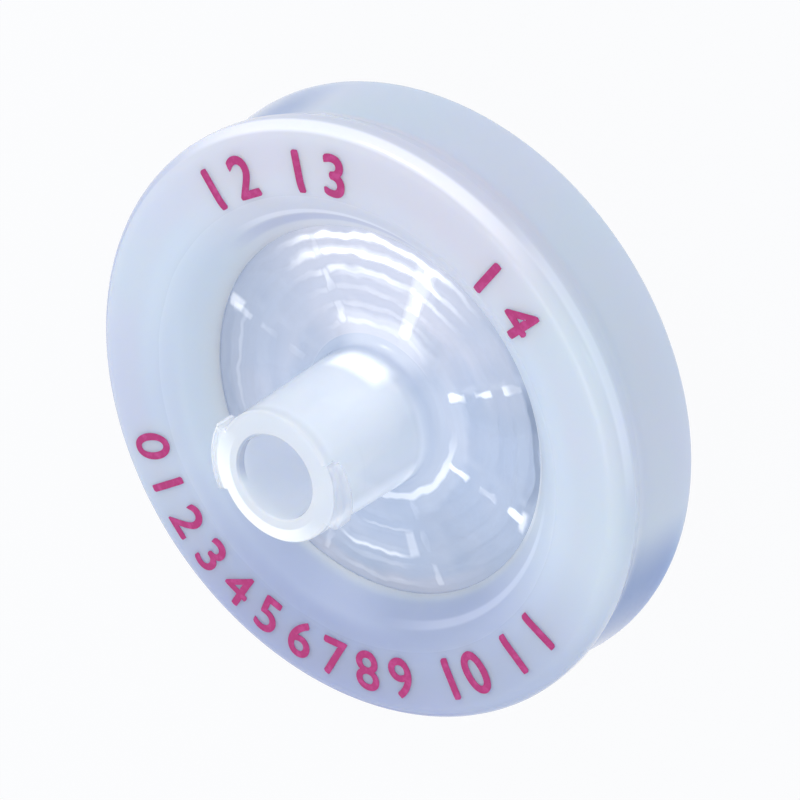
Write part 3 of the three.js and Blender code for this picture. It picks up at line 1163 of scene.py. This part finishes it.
@dataclass
class InletHousing(Housing):
    """The upper housing: window plate, flow grid, and a female luer hub with two lugs."""

    orifice: float = 0.9
    hub_tip: float = 3.37
    hub_base: float = 3.6
    fillet: float = 0.65
    tip_round: float = 0.2
    mouth: float = 2.14
    socket_depth: float = 7.5
    chamfer: float = 0.12
    taper: float = 0.03
    edge_round: float = 0.2
    lug_radius: float = 3.9
    lug_span: float = 55.0
    lug_azimuth: float = 47.5
    lug_height: float = 1.5
    lug_lead: float = 5.0
    lug_round: float = 0.25
    lugs: int = 2
    facets: int = 40
    face_rings: tuple[float, ...] = (9.0, 7.0, 5.5)

    # Heights above the start of a lug of two rings on the wall and of the lug's lowest ring, and
    # the radius of the corner there.
    BELOW_LUG = (-0.25, 0.1)
    LUG_START = 0.2
    LUG_CORNER = 0.12
    # Short flats before the rounds of the hub's end and after them, so that the rest shades flat.
    FLAT = 0.1
    END_STEP = 0.08
    # The bevels of the socket's floor: inwards and up at its wall, and both at the orifice.
    FLOOR_BEVEL = (0.03, 0.02)
    ORIFICE_EDGE = 0.05

    def _under_plate(self) -> list[Ring]:
        """Rings from the orifice outwards over the flow grid and the clamping rim to the edge."""
        s = self.stack
        bottom = s.inlet_plate_bottom
        face = [(r, bottom) for r in self.grid.radii(self.FACE_FROM, s.clamp_inner)]
        rim = [(s.clamp_inner, s.inlet_crest), (s.spigot, s.inlet_crest), (s.spigot, bottom)]
        outer = [self.grid_ring(r, z) for r, z in [*face, *rim, (s.plate, bottom)]]
        return [self.even_ring(self.orifice, bottom), *outer]

    def _over_plate(self) -> list[Ring]:
        """Rings round the plate's edge and in over the window to the hub's fillet."""
        top = self.stack.inlet_plate_top
        edge = rounded([
            Corner(0.0, top - self.BEYOND), Corner(self.stack.plate, top - self.BEYOND),
            Corner(self.stack.plate, top, self.edge_round), Corner(0.0, top),
        ])[2:-1]
        rings = [self.grid_ring(r, z) for r, z in edge]
        return rings + [self.even_ring(r, top) for r in self.face_rings]

    def _lug_shape(self, angles: np.ndarray) -> tuple[np.ndarray, np.ndarray]:
        """Where the lugs are, and how far along the nearest lug each angle is.

        Args:
            angles: The angles of a ring's points.

        Returns:
            A mask of 0 and 1, and the share of the lug's span from its start, 0 to 1.
        """
        apart = math.tau / self.lugs
        middle = math.radians(self.lug_azimuth)
        swing = (angles - middle + apart / 2) % apart - apart / 2
        half = math.radians(self.lug_span) / 2
        mask = (np.abs(swing) < half).astype(float)
        return mask, np.clip(swing / (2 * half) + 0.5, 0.0, 1.0)

    def _hub_wall(self) -> list[Ring]:
        """Rings up the hub from its fillet, out over the lugs and onto the hub's end."""
        s = self.stack
        snug = math.cos(math.pi / self.facets)
        lean = (self.hub_tip - self.hub_base) / (s.hub_top - s.inlet_plate_top)
        foot = rounded([
            Corner(self.hub_base + self.ASIDE, s.inlet_plate_top),
            Corner(self.hub_base, s.inlet_plate_top, self.fillet),
            Corner(self.hub_tip, s.hub_top), Corner(self.hub_base + self.ASIDE, s.hub_top),
        ])[1:-2]
        angles = self.even_ring(self.hub_base, s.hub_top).angle
        mask, share = self._lug_shape(angles)
        travel = self.lug_lead * math.radians(self.lug_span) / math.tau
        bottom = s.hub_top - self.lug_height + travel * share
        high = np.full(len(angles), s.hub_top)
        tip, lug = self.hub_tip * snug, self.lug_radius * snug

        def wall(z: np.ndarray) -> np.ndarray:
            """The hub's radius at these heights."""
            return (self.hub_base + lean * (z - s.inlet_plate_top)) * snug

        def ring(flat_z: np.ndarray, flat_r: np.ndarray, lug_z: np.ndarray, lug_r: float) -> Ring:
            """A ring with one height and radius off the lugs and another on them."""
            return Ring(flat_r + (lug_r - flat_r) * mask, flat_z + (lug_z - flat_z) * mask, angles)

        rings = [self.even_ring(r * snug, z) for r, z in foot]
        rings += [Ring(wall(bottom + step), bottom + step, angles) for step in self.BELOW_LUG]
        for rise, inset in quarter(3):
            z = bottom + self.LUG_START + self.LUG_CORNER * rise
            rings.append(ring(z, wall(z), z, lug - self.LUG_CORNER * inset))
        flat_end, lug_end = (high - edge - self.FLAT for edge in (self.tip_round, self.lug_round))
        rings.append(ring(flat_end, wall(flat_end), lug_end, lug))
        for inset, drop in quarter(4):
            flat_r = np.full(len(high), tip - self.tip_round * inset)
            flat_z, lug_z = (high - edge * drop for edge in (self.tip_round, self.lug_round))
            rings.append(ring(flat_z, flat_r, lug_z, lug - self.lug_round * inset))
        return rings + [self.even_ring(tip - self.tip_round - self.END_STEP, s.hub_top)]

    def _socket(self) -> list[Ring]:
        """Rings from the hub's end down the tapered socket and through the orifice."""
        top = self.stack.hub_top
        floor = top - self.socket_depth
        deepest = self.mouth - self.taper * self.socket_depth
        lip = rounded([
            Corner(self.hub_tip, top), Corner(self.mouth + self.chamfer * 0.3, top, self.chamfer),
            Corner(deepest, floor), Corner(self.hub_tip, floor),
        ])[1:-2]
        inset, rise = self.FLOOR_BEVEL
        deep = [
            (deepest, floor + rise), (deepest - inset, floor),
            (self.orifice + self.ORIFICE_EDGE, floor), (self.orifice, floor - self.ORIFICE_EDGE),
        ]
        return [self.even_ring(r, z) for r, z in [*lip, *deep]]

    def build(self) -> bpy.types.Object:
        """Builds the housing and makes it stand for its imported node."""
        rings = [*self._under_plate(), *self._over_plate(), *self._hub_wall(), *self._socket()]
        ports = self.grid.tree(False, self.stack.inlet_plate_bottom, self.finish.material(self.place))
        mesh = ports.run_on(skin("inlet_blank", rings), "inlet_shell")
        return self.place.dress(mesh, "inlet_shell", "inlet_plastic", ["inlet_housing"])


@dataclass
class OutletHousing(Housing):
    """The lower housing: cup, flow grid, boss and male luer slip tip."""

    tip_stand: float = 10.2
    tip_end: float = 1.98
    tip_round: float = 0.3
    cone_length: float = 8.2
    bore: float = 1.1
    bore_flare: float = 0.15
    boss: float = 3.3
    boss_fillet: float = 0.5
    boss_round: float = 0.35
    taper: float = 0.03
    edge_round: float = 0.2
    facets: int = 40
    ease: float = 0.006
    bore_edge: float = 0.08
    seat_gap: float = 0.1
    face_rings: tuple[float, ...] = (5.5, 8.0)

    def _tip(self) -> list[Ring]:
        """Rings from the bore's mouth up the cone and the boss to the plate."""
        snug = math.cos(math.pi / self.facets) - self.ease / self.tip_end
        bottom, plate = -self.tip_stand, self.stack.rear_plate_bottom
        top = bottom + self.cone_length
        cone = self.tip_end + self.taper * self.cone_length
        points = rounded([
            Corner(self.bore / snug, bottom, self.bore_edge),
            Corner(self.tip_end, bottom, self.tip_round),
            Corner(cone, top, self.boss_round),
            Corner(self.boss, top, self.boss_round),
            Corner(self.boss, plate, self.boss_fillet),
            Corner(self.boss + self.ASIDE, plate),
            Corner(self.boss + self.ASIDE, plate + self.BEYOND),
            Corner(self.bore / snug, plate + self.BEYOND),
        ])[:-3]
        return [self.even_ring(r * snug, z) for r, z in points]

    def _cup(self) -> list[Ring]:
        """Rings out under the plate, round the cup's wall and in over the flow grid."""
        s = self.stack
        shoulder = s.inlet_plate_bottom - self.seat_gap
        edge = rounded([
            Corner(0.0, s.rear_plate_bottom), Corner(s.plate, s.rear_plate_bottom, self.edge_round),
            Corner(s.plate, shoulder), Corner(0.0, shoulder),
        ])[1:-2]
        inside = [
            (s.plate, shoulder), (s.cup_inner, shoulder), (s.cup_inner, s.outlet_crest),
            (s.clamp_inner, s.outlet_crest),
        ]
        face = [(r, s.outlet_plate_top) for r in reversed(self.grid.radii(self.FACE_FROM, s.clamp_inner))]
        under = [self.even_ring(r, s.rear_plate_bottom) for r in self.face_rings]
        return [*under, *(self.grid_ring(r, z) for r, z in [*edge, *inside, *face])]

    def build(self) -> bpy.types.Object:
        """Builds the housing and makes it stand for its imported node."""
        s = self.stack
        middle = (s.outlet_plate_top + s.rear_plate_bottom) / 2
        flare = self.even_ring(self.bore + self.bore_flare, s.outlet_plate_top)
        rings = [*self._tip(), *self._cup(), flare, self.even_ring(self.bore, middle)]
        ports = self.grid.tree(True, s.outlet_plate_top, self.finish.material(self.place))
        mesh = ports.run_on(skin("outlet_blank", rings), "outlet_shell")
        return self.place.dress(mesh, "outlet_shell", "outlet_plastic", ["outlet_housing"])


@dataclass
class MembraneDisc:
    """The filter membrane, a thin round sheet between the two flow grids."""

    stack: Stack
    place: Placement
    finish: Membrane
    radius: float = 12.5
    bevel_in: float = 0.03
    bevel_up: float = 0.05
    stations: int = 128

    def build(self) -> bpy.types.Object:
        """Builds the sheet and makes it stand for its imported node."""
        s = self.stack
        outline = [
            (0.0, s.membrane_bottom), (self.radius - self.bevel_in, s.membrane_bottom),
            (self.radius, s.membrane_bottom + self.bevel_up), (self.radius, s.membrane_top - self.bevel_up),
            (self.radius - self.bevel_in, s.membrane_top), (0.0, s.membrane_top),
        ]
        mesh = skin("membrane_sheet", rings_of(outline, even_angles(self.stations)))
        mesh.materials.append(self.finish.material())
        return self.place.dress(mesh, "membrane_sheet", "membrane_polymer", ["membrane"])


@dataclass
class Band:
    """The moulded band that closes the housings' edge, with a dished opening on each side."""

    stack: Stack
    place: Placement
    finish: Milky
    front_round: float = 0.85
    rear_round: float = 0.26
    lip_width: float = 1.3
    waist_depth: float = 0.45
    waist_setback: float = 2.5
    waist_round: float = 1.6
    rear_inset: float = 0.05
    window: float = 9.5
    dish_slope: float = 43.0
    dish_round: float = 2.6
    rear_window: float = 10.6
    rear_dish: float = 0.7
    rear_slope: float = 40.0
    rear_edge: float = 0.35
    lip_round: float = 0.5
    dish_edge: float = 0.06
    facets: int = 80
    ease: float = 0.016
    stations: int = 240

    @property
    def dish_top(self) -> float:
        """Radius at which the dish's wall would meet the face if their corner were sharp."""
        depth = self.stack.band_height - self.stack.lip_bottom
        return self.window + depth * math.tan(math.radians(self.dish_slope))

    def shoulder_drop(self, radius: float) -> float:
        """How far the face has curved down towards the dish at a radius."""
        start = self.dish_top + self.dish_round / math.tan(math.radians(90.0 + self.dish_slope) / 2)
        past = max(start - radius, 0.0)
        return self.dish_round - math.sqrt(self.dish_round**2 - past**2)

    def build(self) -> bpy.types.Object:
        """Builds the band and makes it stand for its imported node."""
        s = self.stack
        top = s.band_height
        rear_top = self.rear_window + self.rear_dish * math.tan(math.radians(self.rear_slope))
        snug = math.cos(math.pi / self.facets) - self.ease / s.band_outer
        outline = rounded([
            Corner(rear_top, 0.0, self.rear_edge),
            Corner((s.band_outer - self.rear_inset) * snug, 0.0, self.rear_round),
            Corner((s.band_outer - self.waist_depth) * snug, top - self.waist_setback, self.waist_round),
            Corner(s.band_outer * snug, top - self.lip_width, self.lip_round),
            Corner(s.band_outer * snug, top, self.front_round),
            Corner(self.dish_top, top, self.dish_round),
            Corner(self.window, s.lip_bottom, self.dish_edge),
            Corner(s.band_inner, s.lip_bottom),
            Corner(s.band_inner, self.rear_dish),
            Corner(self.rear_window, self.rear_dish, self.dish_edge),
        ], step=6.0, ease=0.04)
        mesh = skin("band", rings_of(outline, even_angles(self.stations)))
        mesh.materials.append(self.finish.material(self.place))
        return self.place.dress(mesh, "band", "band_plastic", ["overmould_ring"])


class Tops(Enum):
    """Which way the tops of the figures face on the band."""

    OUTWARDS = 1
    INWARDS = -1


@dataclass(frozen=True)
class Figures:
    """A line of plain figures that follows the band's face.

    Attributes:
        text: The figures.
        tops: Which way their tops face.
        middle: Angle of the line's middle, in degrees.
        baseline: Radius that they stand on, in millimetres.
        height: Height of a figure, in millimetres.
        spacing: Share by which the figures are spread.
        weight: How far each stroke's edges are moved out, in millimetres.
    """

    text: str
    tops: Tops
    middle: float
    baseline: float
    height: float = 2.2
    spacing: float = 1.0
    weight: float = 0.045

    # A figure's height for each unit of type size, then the coat's thickness and the length of
    # each step along an outline, in millimetres.
    CAP_SHARE = 0.73
    COAT = 0.015
    STEP = 0.12

    def tree(self, face_z: float, ink: bpy.types.Material) -> Ports:
        """The rule that sets figures along an arc and gives them a coat's thickness.

        Args:
            face_z: Height of the printed face.
            ink: The print's material.

        Returns:
            The geometry tree with its inputs.
        """
        ports = Ports("figures_on_an_arc", {
            "Figures": self.text, "Size": self.height / self.CAP_SHARE, "Spacing": self.spacing,
            "Baseline": self.baseline, "Middle": math.radians(self.middle),
            "Direction": float(self.tops.value), "Weight": self.weight, "Face height": face_z,
            "Coat": self.COAT, "Step": self.STEP, "Ink": ink,
        })
        tree = ports.tree
        setting = {"align_x": "CENTER", "align_y": "BOTTOM_BASELINE", "pivot_mode": "BOTTOM_CENTER"}
        letters = tree.node("GeometryNodeStringToCurves", setting, {
            "String": ports["Figures"], "Size": ports["Size"], "Character Spacing": ports["Spacing"],
        })
        pivot = letters.output("Pivot Point")
        foot = tree.vector("ADD", tree.node("GeometryNodeInputPosition"), pivot)
        parts = tree.node("ShaderNodeSeparateXYZ", {}, {"Vector": foot})
        angle = ports["Middle"] - ports["Direction"] * parts.output("X") / ports["Baseline"]
        aim = tree.point(X=angle.cosine() * ports["Baseline"], Y=angle.sine() * ports["Baseline"])
        moved = tree.node("GeometryNodeTranslateInstances", {}, {
            "Instances": letters, "Translation": tree.vector("SUBTRACT", aim, foot), "Local Space": False,
        })
        bearing = parts.output("Y").bearing(parts.output("X"))
        lean = tree.point(Z=bearing - ports["Direction"] * (math.pi / 2))
        laid = tree.node("GeometryNodeRotateInstances", {}, {
            "Instances": moved, "Rotation": lean, "Pivot Point": pivot, "Local Space": True,
        })
        loose = tree.node("GeometryNodeRealizeInstances", {}, {"Geometry": laid})
        sampling = {"Curve": loose, "Length": ports["Step"]}
        fine = tree.node("GeometryNodeResampleCurve", {"mode": "LENGTH"}, sampling)
        aside = tree.vector("CROSS_PRODUCT", tree.node("GeometryNodeInputTangent"), (0.0, 0.0, 1.0))
        widened = {0: aside, "Scale": ports["Weight"]}
        spread = tree.node("ShaderNodeVectorMath", {"operation": "SCALE"}, widened)
        bold = tree.node("GeometryNodeSetPosition", {}, {"Geometry": fine, "Offset": spread})
        filled = tree.node("GeometryNodeFillCurve", {"mode": "TRIANGLES"}, {"Curve": bold})
        under = tree.node("GeometryNodeFlipFaces", {}, {"Mesh": filled})
        coat = tree.node("GeometryNodeExtrudeMesh", {"mode": "FACES"}, {
            "Mesh": filled, "Offset Scale": ports["Coat"], "Individual": False,
        })
        joined = tree.node("GeometryNodeJoinGeometry", {}, {"Geometry": [under, coat]})
        near = {"Geometry": joined, "Distance": ports["Coat"] / 10.0}
        merged = tree.node("GeometryNodeMergeByDistance", {}, near)
        lifted = {"Geometry": merged, "Offset": tree.point(Z=ports["Face height"])}
        ports.finish(tree.node("GeometryNodeSetPosition", {}, lifted), ports["Ink"])
        return ports


@dataclass
class Print:
    """The print on the band's face: a plain scale of figures."""

    band: Band
    ink: Ink
    lift: float = 0.004
    lines: tuple[Figures, ...] = (
        Figures("0 1 2 3 4 5 6 7 8 9", Tops.INWARDS, 290.3, 14.25, spacing=0.97),
        Figures("10", Tops.INWARDS, 348.5, 14.25, spacing=1.25, weight=0.07),
        Figures("11", Tops.INWARDS, 369.5, 14.25, spacing=1.6, weight=0.07),
        Figures("12 13", Tops.OUTWARDS, 158.0, 12.05, spacing=1.3, weight=0.07),
        Figures("14", Tops.OUTWARDS, 95.0, 12.05, spacing=1.5, weight=0.07),
    )

    def build(self) -> bpy.types.Object:
        """Builds every line of figures as one piece."""
        ink = self.ink.material()
        blank = bpy.data.meshes.new("no_geometry")
        face = self.band.stack.band_height + self.lift
        made = [line.tree(face, ink).run_on(blank, "figures") for line in self.lines]
        places: list[Point] = []
        faces: list[list[int]] = []
        for mesh in made:
            base = len(places)
            places += [(*v.co.xy, v.co.z - self.band.shoulder_drop(v.co.xy.length)) for v in mesh.vertices]
            faces += [[base + v for v in p.vertices] for p in mesh.polygons]
        joined = bpy.data.meshes.new("figures")
        joined.from_pydata(places, [], faces)
        joined.materials.append(ink)
        return self.band.place.dress(joined, "print_figures", "band_plastic")


# ---- Studio ----------------------------------------------------------------------------------


@dataclass(frozen=True)
class Camera:
    """The camera, set by how the filter's axis lies in its view.

    Attributes:
        tilt: Angle between the filter's axis and the line of sight, in degrees.
        turn: Direction in which the inlet leans in the picture, anticlockwise from the right.
        distance: From the middle of the band's front face, in metres.
        across: How far right of the picture's middle that point is, in metres.
        above: How far above it.
        lens: Focal length for a sensor 36 mm wide, in millimetres.
    """

    tilt: float = 44.865
    turn: float = 212.939
    distance: float = 0.2
    across: float = -0.002426
    above: float = -0.001406
    lens: float = 189.07

    # Width of the sensor, in millimetres, and the nearest and farthest that is shown, in metres.
    SENSOR = 36.0
    NEAREST, FARTHEST = 0.01, 5.0

    def build(self, place: Placement, front: float) -> None:
        """Makes the scene's camera.

        Args:
            place: Where the filter lies.
            front: Height of the band's front face on the filter's axis, in millimetres.
        """
        tilt, turn = math.radians(self.tilt), math.radians(self.turn)
        lean = math.sin(tilt)
        seen_along = Vector((lean * math.cos(turn), lean * math.sin(turn), math.cos(tilt)))
        seen_across = Vector((-math.sin(turn), math.cos(turn), 0.0))
        seen = Matrix((seen_across, seen_along.cross(seen_across), seen_along)).transposed()
        across = Vector((1.0, 0.0, 0.0))
        own = Matrix((across, place.along.cross(across), place.along)).transposed()
        turned = own @ seen.transposed()
        right, up, back = turned.col
        middle = place.origin + place.along * front * MM
        data = bpy.data.cameras.new("camera")
        data.lens, data.sensor_width = self.lens, self.SENSOR
        data.clip_start, data.clip_end = self.NEAREST, self.FARTHEST
        camera = bpy.data.objects.new("camera", data)
        spot = middle - right * self.across - up * self.above + back * self.distance
        camera.matrix_world = Matrix.Translation(spot) @ turned.to_4x4()
        bpy.context.scene.collection.objects.link(camera)
        bpy.context.scene.camera = camera


@dataclass(frozen=True)
class Lamp:
    """A soft box that faces the filter.

    Attributes:
        name: The lamp's name.
        place: Where it stands, in metres.
        size: Width and height, in metres.
        power: Watts.
        colour: Colour of its light.
    """

    name: str
    place: Point
    size: Span
    power: float
    colour: Colour = WHITE

    def build(self, target: Vector) -> None:
        """Makes the lamp, turned towards the target."""
        data = bpy.data.lights.new(self.name, "AREA")
        data.shape = "RECTANGLE"
        data.size, data.size_y = self.size
        data.energy = self.power
        data.color = self.colour
        lamp = bpy.data.objects.new(self.name, data)
        lamp.location = self.place
        lamp.rotation_mode = "QUATERNION"
        lamp.rotation_quaternion = (Vector(self.place) - target).to_track_quat("Z", "Y")
        bpy.context.scene.collection.objects.link(lamp)


@dataclass(frozen=True)
class Studio:
    """A plain white sweep with soft boxes."""

    floor_size: float = 0.9
    floor_colour: Colour = srgb(196, 210, 236)
    glow: float = 0.94
    sky: Colour = (0.91, 0.95, 1.0)
    sky_strength: float = 0.80
    lamps: tuple[Lamp, ...] = (
        Lamp("key", (-0.203, -0.045, 0.18), (0.035, 0.08), 0.09),
        Lamp("front", (0.03, -0.14, 0.20), (0.16, 0.10), 0.06),
        Lamp("side", (0.12, 0.20, 0.20), (0.04, 0.16), 0.03, (0.95, 0.98, 1.0)),
    )

    # The floor paper: waves a metre of its fleck, the soft step to its roughness, and its sheen.
    FLECKS = 300.0
    FLECK = (0.3, 0.7, 0.85, 0.95)
    SPECULAR = 0.2

    def _is_seen(self, tree: Tree) -> Sock:
        """1 for rays that show the backdrop: from the camera, off a gloss, or through plastic."""
        path = tree.node("ShaderNodeLightPath")
        shown = path.output("Is Camera Ray") + path.output("Is Glossy Ray")
        return (shown + path.output("Is Transmission Ray")).at_most(1.0)

    def _floor(self) -> None:
        """A flat floor that keeps the filter's shadow."""
        half = self.floor_size / 2
        mesh = bpy.data.meshes.new("floor")
        corners = [(-half, -half, 0.0), (half, -half, 0.0), (half, half, 0.0), (-half, half, 0.0)]
        mesh.from_pydata(corners, [], [(0, 1, 2, 3)])
        material, tree = new_material("floor_paper")
        where = tree.node("ShaderNodeTexCoord").output("Object")
        fleck = tree.noise(where, self.FLECKS, 2.0).ramp(*self.FLECK)
        paper = tree.node("ShaderNodeBsdfPrincipled", {}, {
            "Base Color": self.floor_colour, "Roughness": fleck, "Specular IOR Level": self.SPECULAR,
        })
        white = tree.node("ShaderNodeEmission", {}, {"Color": WHITE, "Strength": 1.0})
        close_material(tree, tree.mix_shader(self._is_seen(tree) * self.glow, paper, white))
        mesh.materials.append(material)
        floor = bpy.data.objects.new("floor", mesh)
        bpy.context.scene.collection.objects.link(floor)

    def _world(self) -> None:
        """A pale sky that lights the scene and shows as white."""
        world = bpy.data.worlds.new("studio")
        bpy.context.scene.world = world
        world.use_nodes = True
        tree = Tree(world.node_tree)
        light = tree.node("ShaderNodeBackground", {}, {"Color": self.sky, "Strength": self.sky_strength})
        white = tree.node("ShaderNodeBackground", {}, {"Color": WHITE, "Strength": 1.0})
        mixed = tree.mix_shader(self._is_seen(tree), light, white)
        tree.node("ShaderNodeOutputWorld", {}, {"Surface": mixed})

    def build(self, target: Vector) -> None:
        """Makes the floor, the sky and the lamps, and sets how colours are shown."""
        self._floor()
        self._world()
        for lamp in self.lamps:
            lamp.build(target)
        bpy.context.scene.view_settings.view_transform = "Standard"


# ---- The filter ------------------------------------------------------------------------------


def window_finish(stack: Stack) -> Clear:
    """The inlet's see-through plastic, with painted lines of light, painted highlights and painted shade on
    its window and hub.
    """
    plate, hub = stack.inlet_plate_top, stack.hub_top
    on_hub, on_end, on_lug = (plate + 1.2, hub - 0.25), (hub - 0.1, hub + 0.1), (hub - 2.6, hub + 0.2)
    # Painted shade: a darker blue on the hub's end and down the bore, and a dark crescent at the bore's
    # edge.
    deep = Tint(srgb(120, 142, 176), (
        Patch((2.1, 3.7), 0.0, 180.0, 0.07, 0.06, on_end),
        Patch((-0.1, 2.2), 0.0, 180.0, 0.2, 0.06, (hub - 7.6, hub - 0.06)),
        Patch((1.9, 2.3), 206.0, 52.0, 0.8, 0.04, (hub - 0.5, hub + 0.02)),
    ))
    milky = Milky(
        "window_plastic", srgb(238, 243, 249), srgb(231, 238, 247), roughness=0.16, depth=1.6,
        scatter=0.95, grain=0.0005, tints=(deep,),
    )
    return Clear(
        milky, FlowGrid(), inner_at=stack.inlet_plate_bottom, outer_at=plate,
        # Painted highlights round the hub's root, which glow.
        root_on=(
            Patch((3.0, 4.2), 131.0, 30.0, 1.0, 0.8, (plate + 0.6, plate + 3.0)),
            Patch((3.2, 5.4), 132.0, 42.0, 0.4, 0.35, (plate - 0.7, plate + 0.6)),
            Patch((3.0, 5.6), 36.0, 70.0, 0.2, 0.5, (plate - 0.7, plate + 1.6)),
        ),
        # Painted highlights on the hub's wall, end and lugs, which glow.
        wall_on=(
            Patch((3.0, 4.0), 132.0, 70.0, 0.22, 0.5, on_hub),
            Patch((3.0, 4.0), 2.0, 34.0, 0.35, 0.3, on_hub),
            Patch((2.6, 3.45), 285.0, 95.0, 0.5, 0.1, on_end),
            Patch((3.7, 4.1), 227.5, 34.0, 0.5, 0.08, (hub - 1.9, hub + 0.1)),
        ),
        # Painted lines of light and glints on the window's outer face, which glow.
        lines_on=(
            Patch((4.2, 4.7), 350.0, 66.0, 0.6, 0.16),
            Patch((8.8, 9.4), 141.0, 34.0, 0.75, 0.25),
            Patch((7.9, 8.65), 143.0, 38.0, 0.55, 0.3),
            Patch((6.9, 7.4), 140.0, 22.0, 0.35, 0.2),
            Patch((4.6, 9.4), 118.5, 4.5, 0.5, 0.3),
            Patch((8.6, 9.6), 206.0, 3.0, 0.5, 0.2),
            Patch((8.25, 8.6), 226.0, 24.0, 0.2, 0.15),
            Patch((9.0, 9.5), 27.0, 4.5, 0.7, 0.2),
            Patch((6.1, 6.35), 323.0, 16.0, 0.35, 0.1),
            Patch((7.45, 7.85), 317.0, 19.0, 0.7, 0.18),
            Patch((6.2, 7.8), 335.0, 3.0, 0.4, 0.3),
        ),
        # Painted light that whitens the window's haze.
        pale_on=(
            Patch((4.6, 9.6), 94.0, 26.0, 0.16, 0.3),
            Patch((6.6, 9.4), 78.0, 18.0, 0.4, 0.5),
            Patch((5.0, 9.9), 207.0, 48.0, 0.3, 0.5),
            Patch((8.6, 9.9), 322.0, 48.0, 0.6, 0.4),
        ),
        # Painted shade: dark lines along the window's edge and darker places on it.
        painted_shade_on=(
            Patch((9.1, 9.6), 52.0, 26.0, 0.85, 0.14),
            Patch((8.8, 9.6), 224.0, 28.0, 0.3, 0.3),
            Patch((5.2, 8.6), 352.0, 17.0, 0.3, 0.3),
            Patch((4.6, 6.3), 103.0, 14.0, 0.35, 0.3),
        ),
        lugs_on=tuple(Patch((3.42, 4.2), towards, 40.0, 0.4, 0.1, on_lug) for towards in (47.5, 227.5)),
    )


def band_finish(stack: Stack) -> Milky:
    """The band's plastic, with painted light and shade: warm painted light where light comes in, lilac
    painted shade below, blue painted shade on its side wall, and painted highlights that glow on its lip
    and round its dish.
    """
    top, lip = stack.band_height, stack.lip_bottom
    # Painted light: a warm tint on the side where light comes in.
    warm = Tint(srgb(229, 219, 226), (Patch((9.2, 16.0), 136.0, 60.0, 0.4, 0.5, (lip - 0.6, top + 0.6)),))
    # Painted shade: lilac on the lower side of the face and lip, and in the dish.
    lilac = Tint(srgb(146, 156, 200), (
        Patch((15.0, 15.7), 262.0, 100.0, 0.5, 0.08, (5.3, top - 0.08)),
        Patch((10.5, 16.0), 280.0, 75.0, 0.16, 0.5, (5.5, top + 0.6)),
        Patch((9.5, 16.0), 326.0, 74.0, 0.48, 0.5, (lip - 0.6, top + 0.6)),
        Patch((9.9, 10.75), 150.0, 40.0, 0.3, 0.25, (4.6, 5.4)),
    ))
    # Painted shade: blue on two parts of the side wall.
    blue = Tint(srgb(126, 156, 206), (
        Patch((14.2, 15.6), 177.0, 25.0, 0.9, 0.5, (0.2, 4.4)),
        Patch((14.2, 15.7), 9.0, 33.0, 0.97, 0.4, (0.0, 4.6)),
    ))
    return Milky(
        "band_plastic", srgb(217, 227, 237), srgb(221, 225, 239), roughness=0.13, depth=1.6,
        scatter=0.85, grain=0.0015, satin=0.3, backed=srgb(218, 228, 241), tints=(warm, lilac, blue),
        # Painted highlights, which glow: on the lip and round the dish's edge.
        painted_light_on=(
            Patch((14.95, 16.0), 138.0, 46.0, 0.8, 0.2, (top - 0.75, top + 0.2)),
            Patch((15.1, 16.0), 78.0, 30.0, 0.35, 0.2, (top - 1.3, top - 0.5)),
            Patch((9.3, 9.9), 46.0, 26.0, 0.4, 0.12, (lip - 0.2, lip + 0.5)),
            Patch((10.4, 10.95), 5.0, 42.0, 0.4, 0.15, (5.1, 5.7)),
            Patch((10.6, 11.0), 150.0, 32.0, 0.35, 0.1, (5.25, 5.75)),
        ),
    )


def main() -> None:
    """Builds the filter's pieces, the studio and the camera."""
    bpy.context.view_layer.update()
    stack = Stack()
    place = Placement.from_record(frame["record"], stack.hub_top)
    outlet = Milky("outlet_plastic", srgb(236, 242, 250), srgb(230, 238, 249), roughness=0.24, depth=1.2)
    band = Band(stack, place, band_finish(stack))
    pieces = [
        OutletHousing(stack, place, outlet).build(),
        MembraneDisc(stack, place, Membrane()).build(),
        InletHousing(stack, place, window_finish(stack)).build(),
        band.build(),
        Print(band, Ink()).build(),
    ]
    log.info("%d pieces", len(pieces))
    target = place.origin + place.along * stack.band_height * MM
    Studio().build(target)
    Camera().build(place, stack.band_height)


if __name__ == "__main__":
    main()
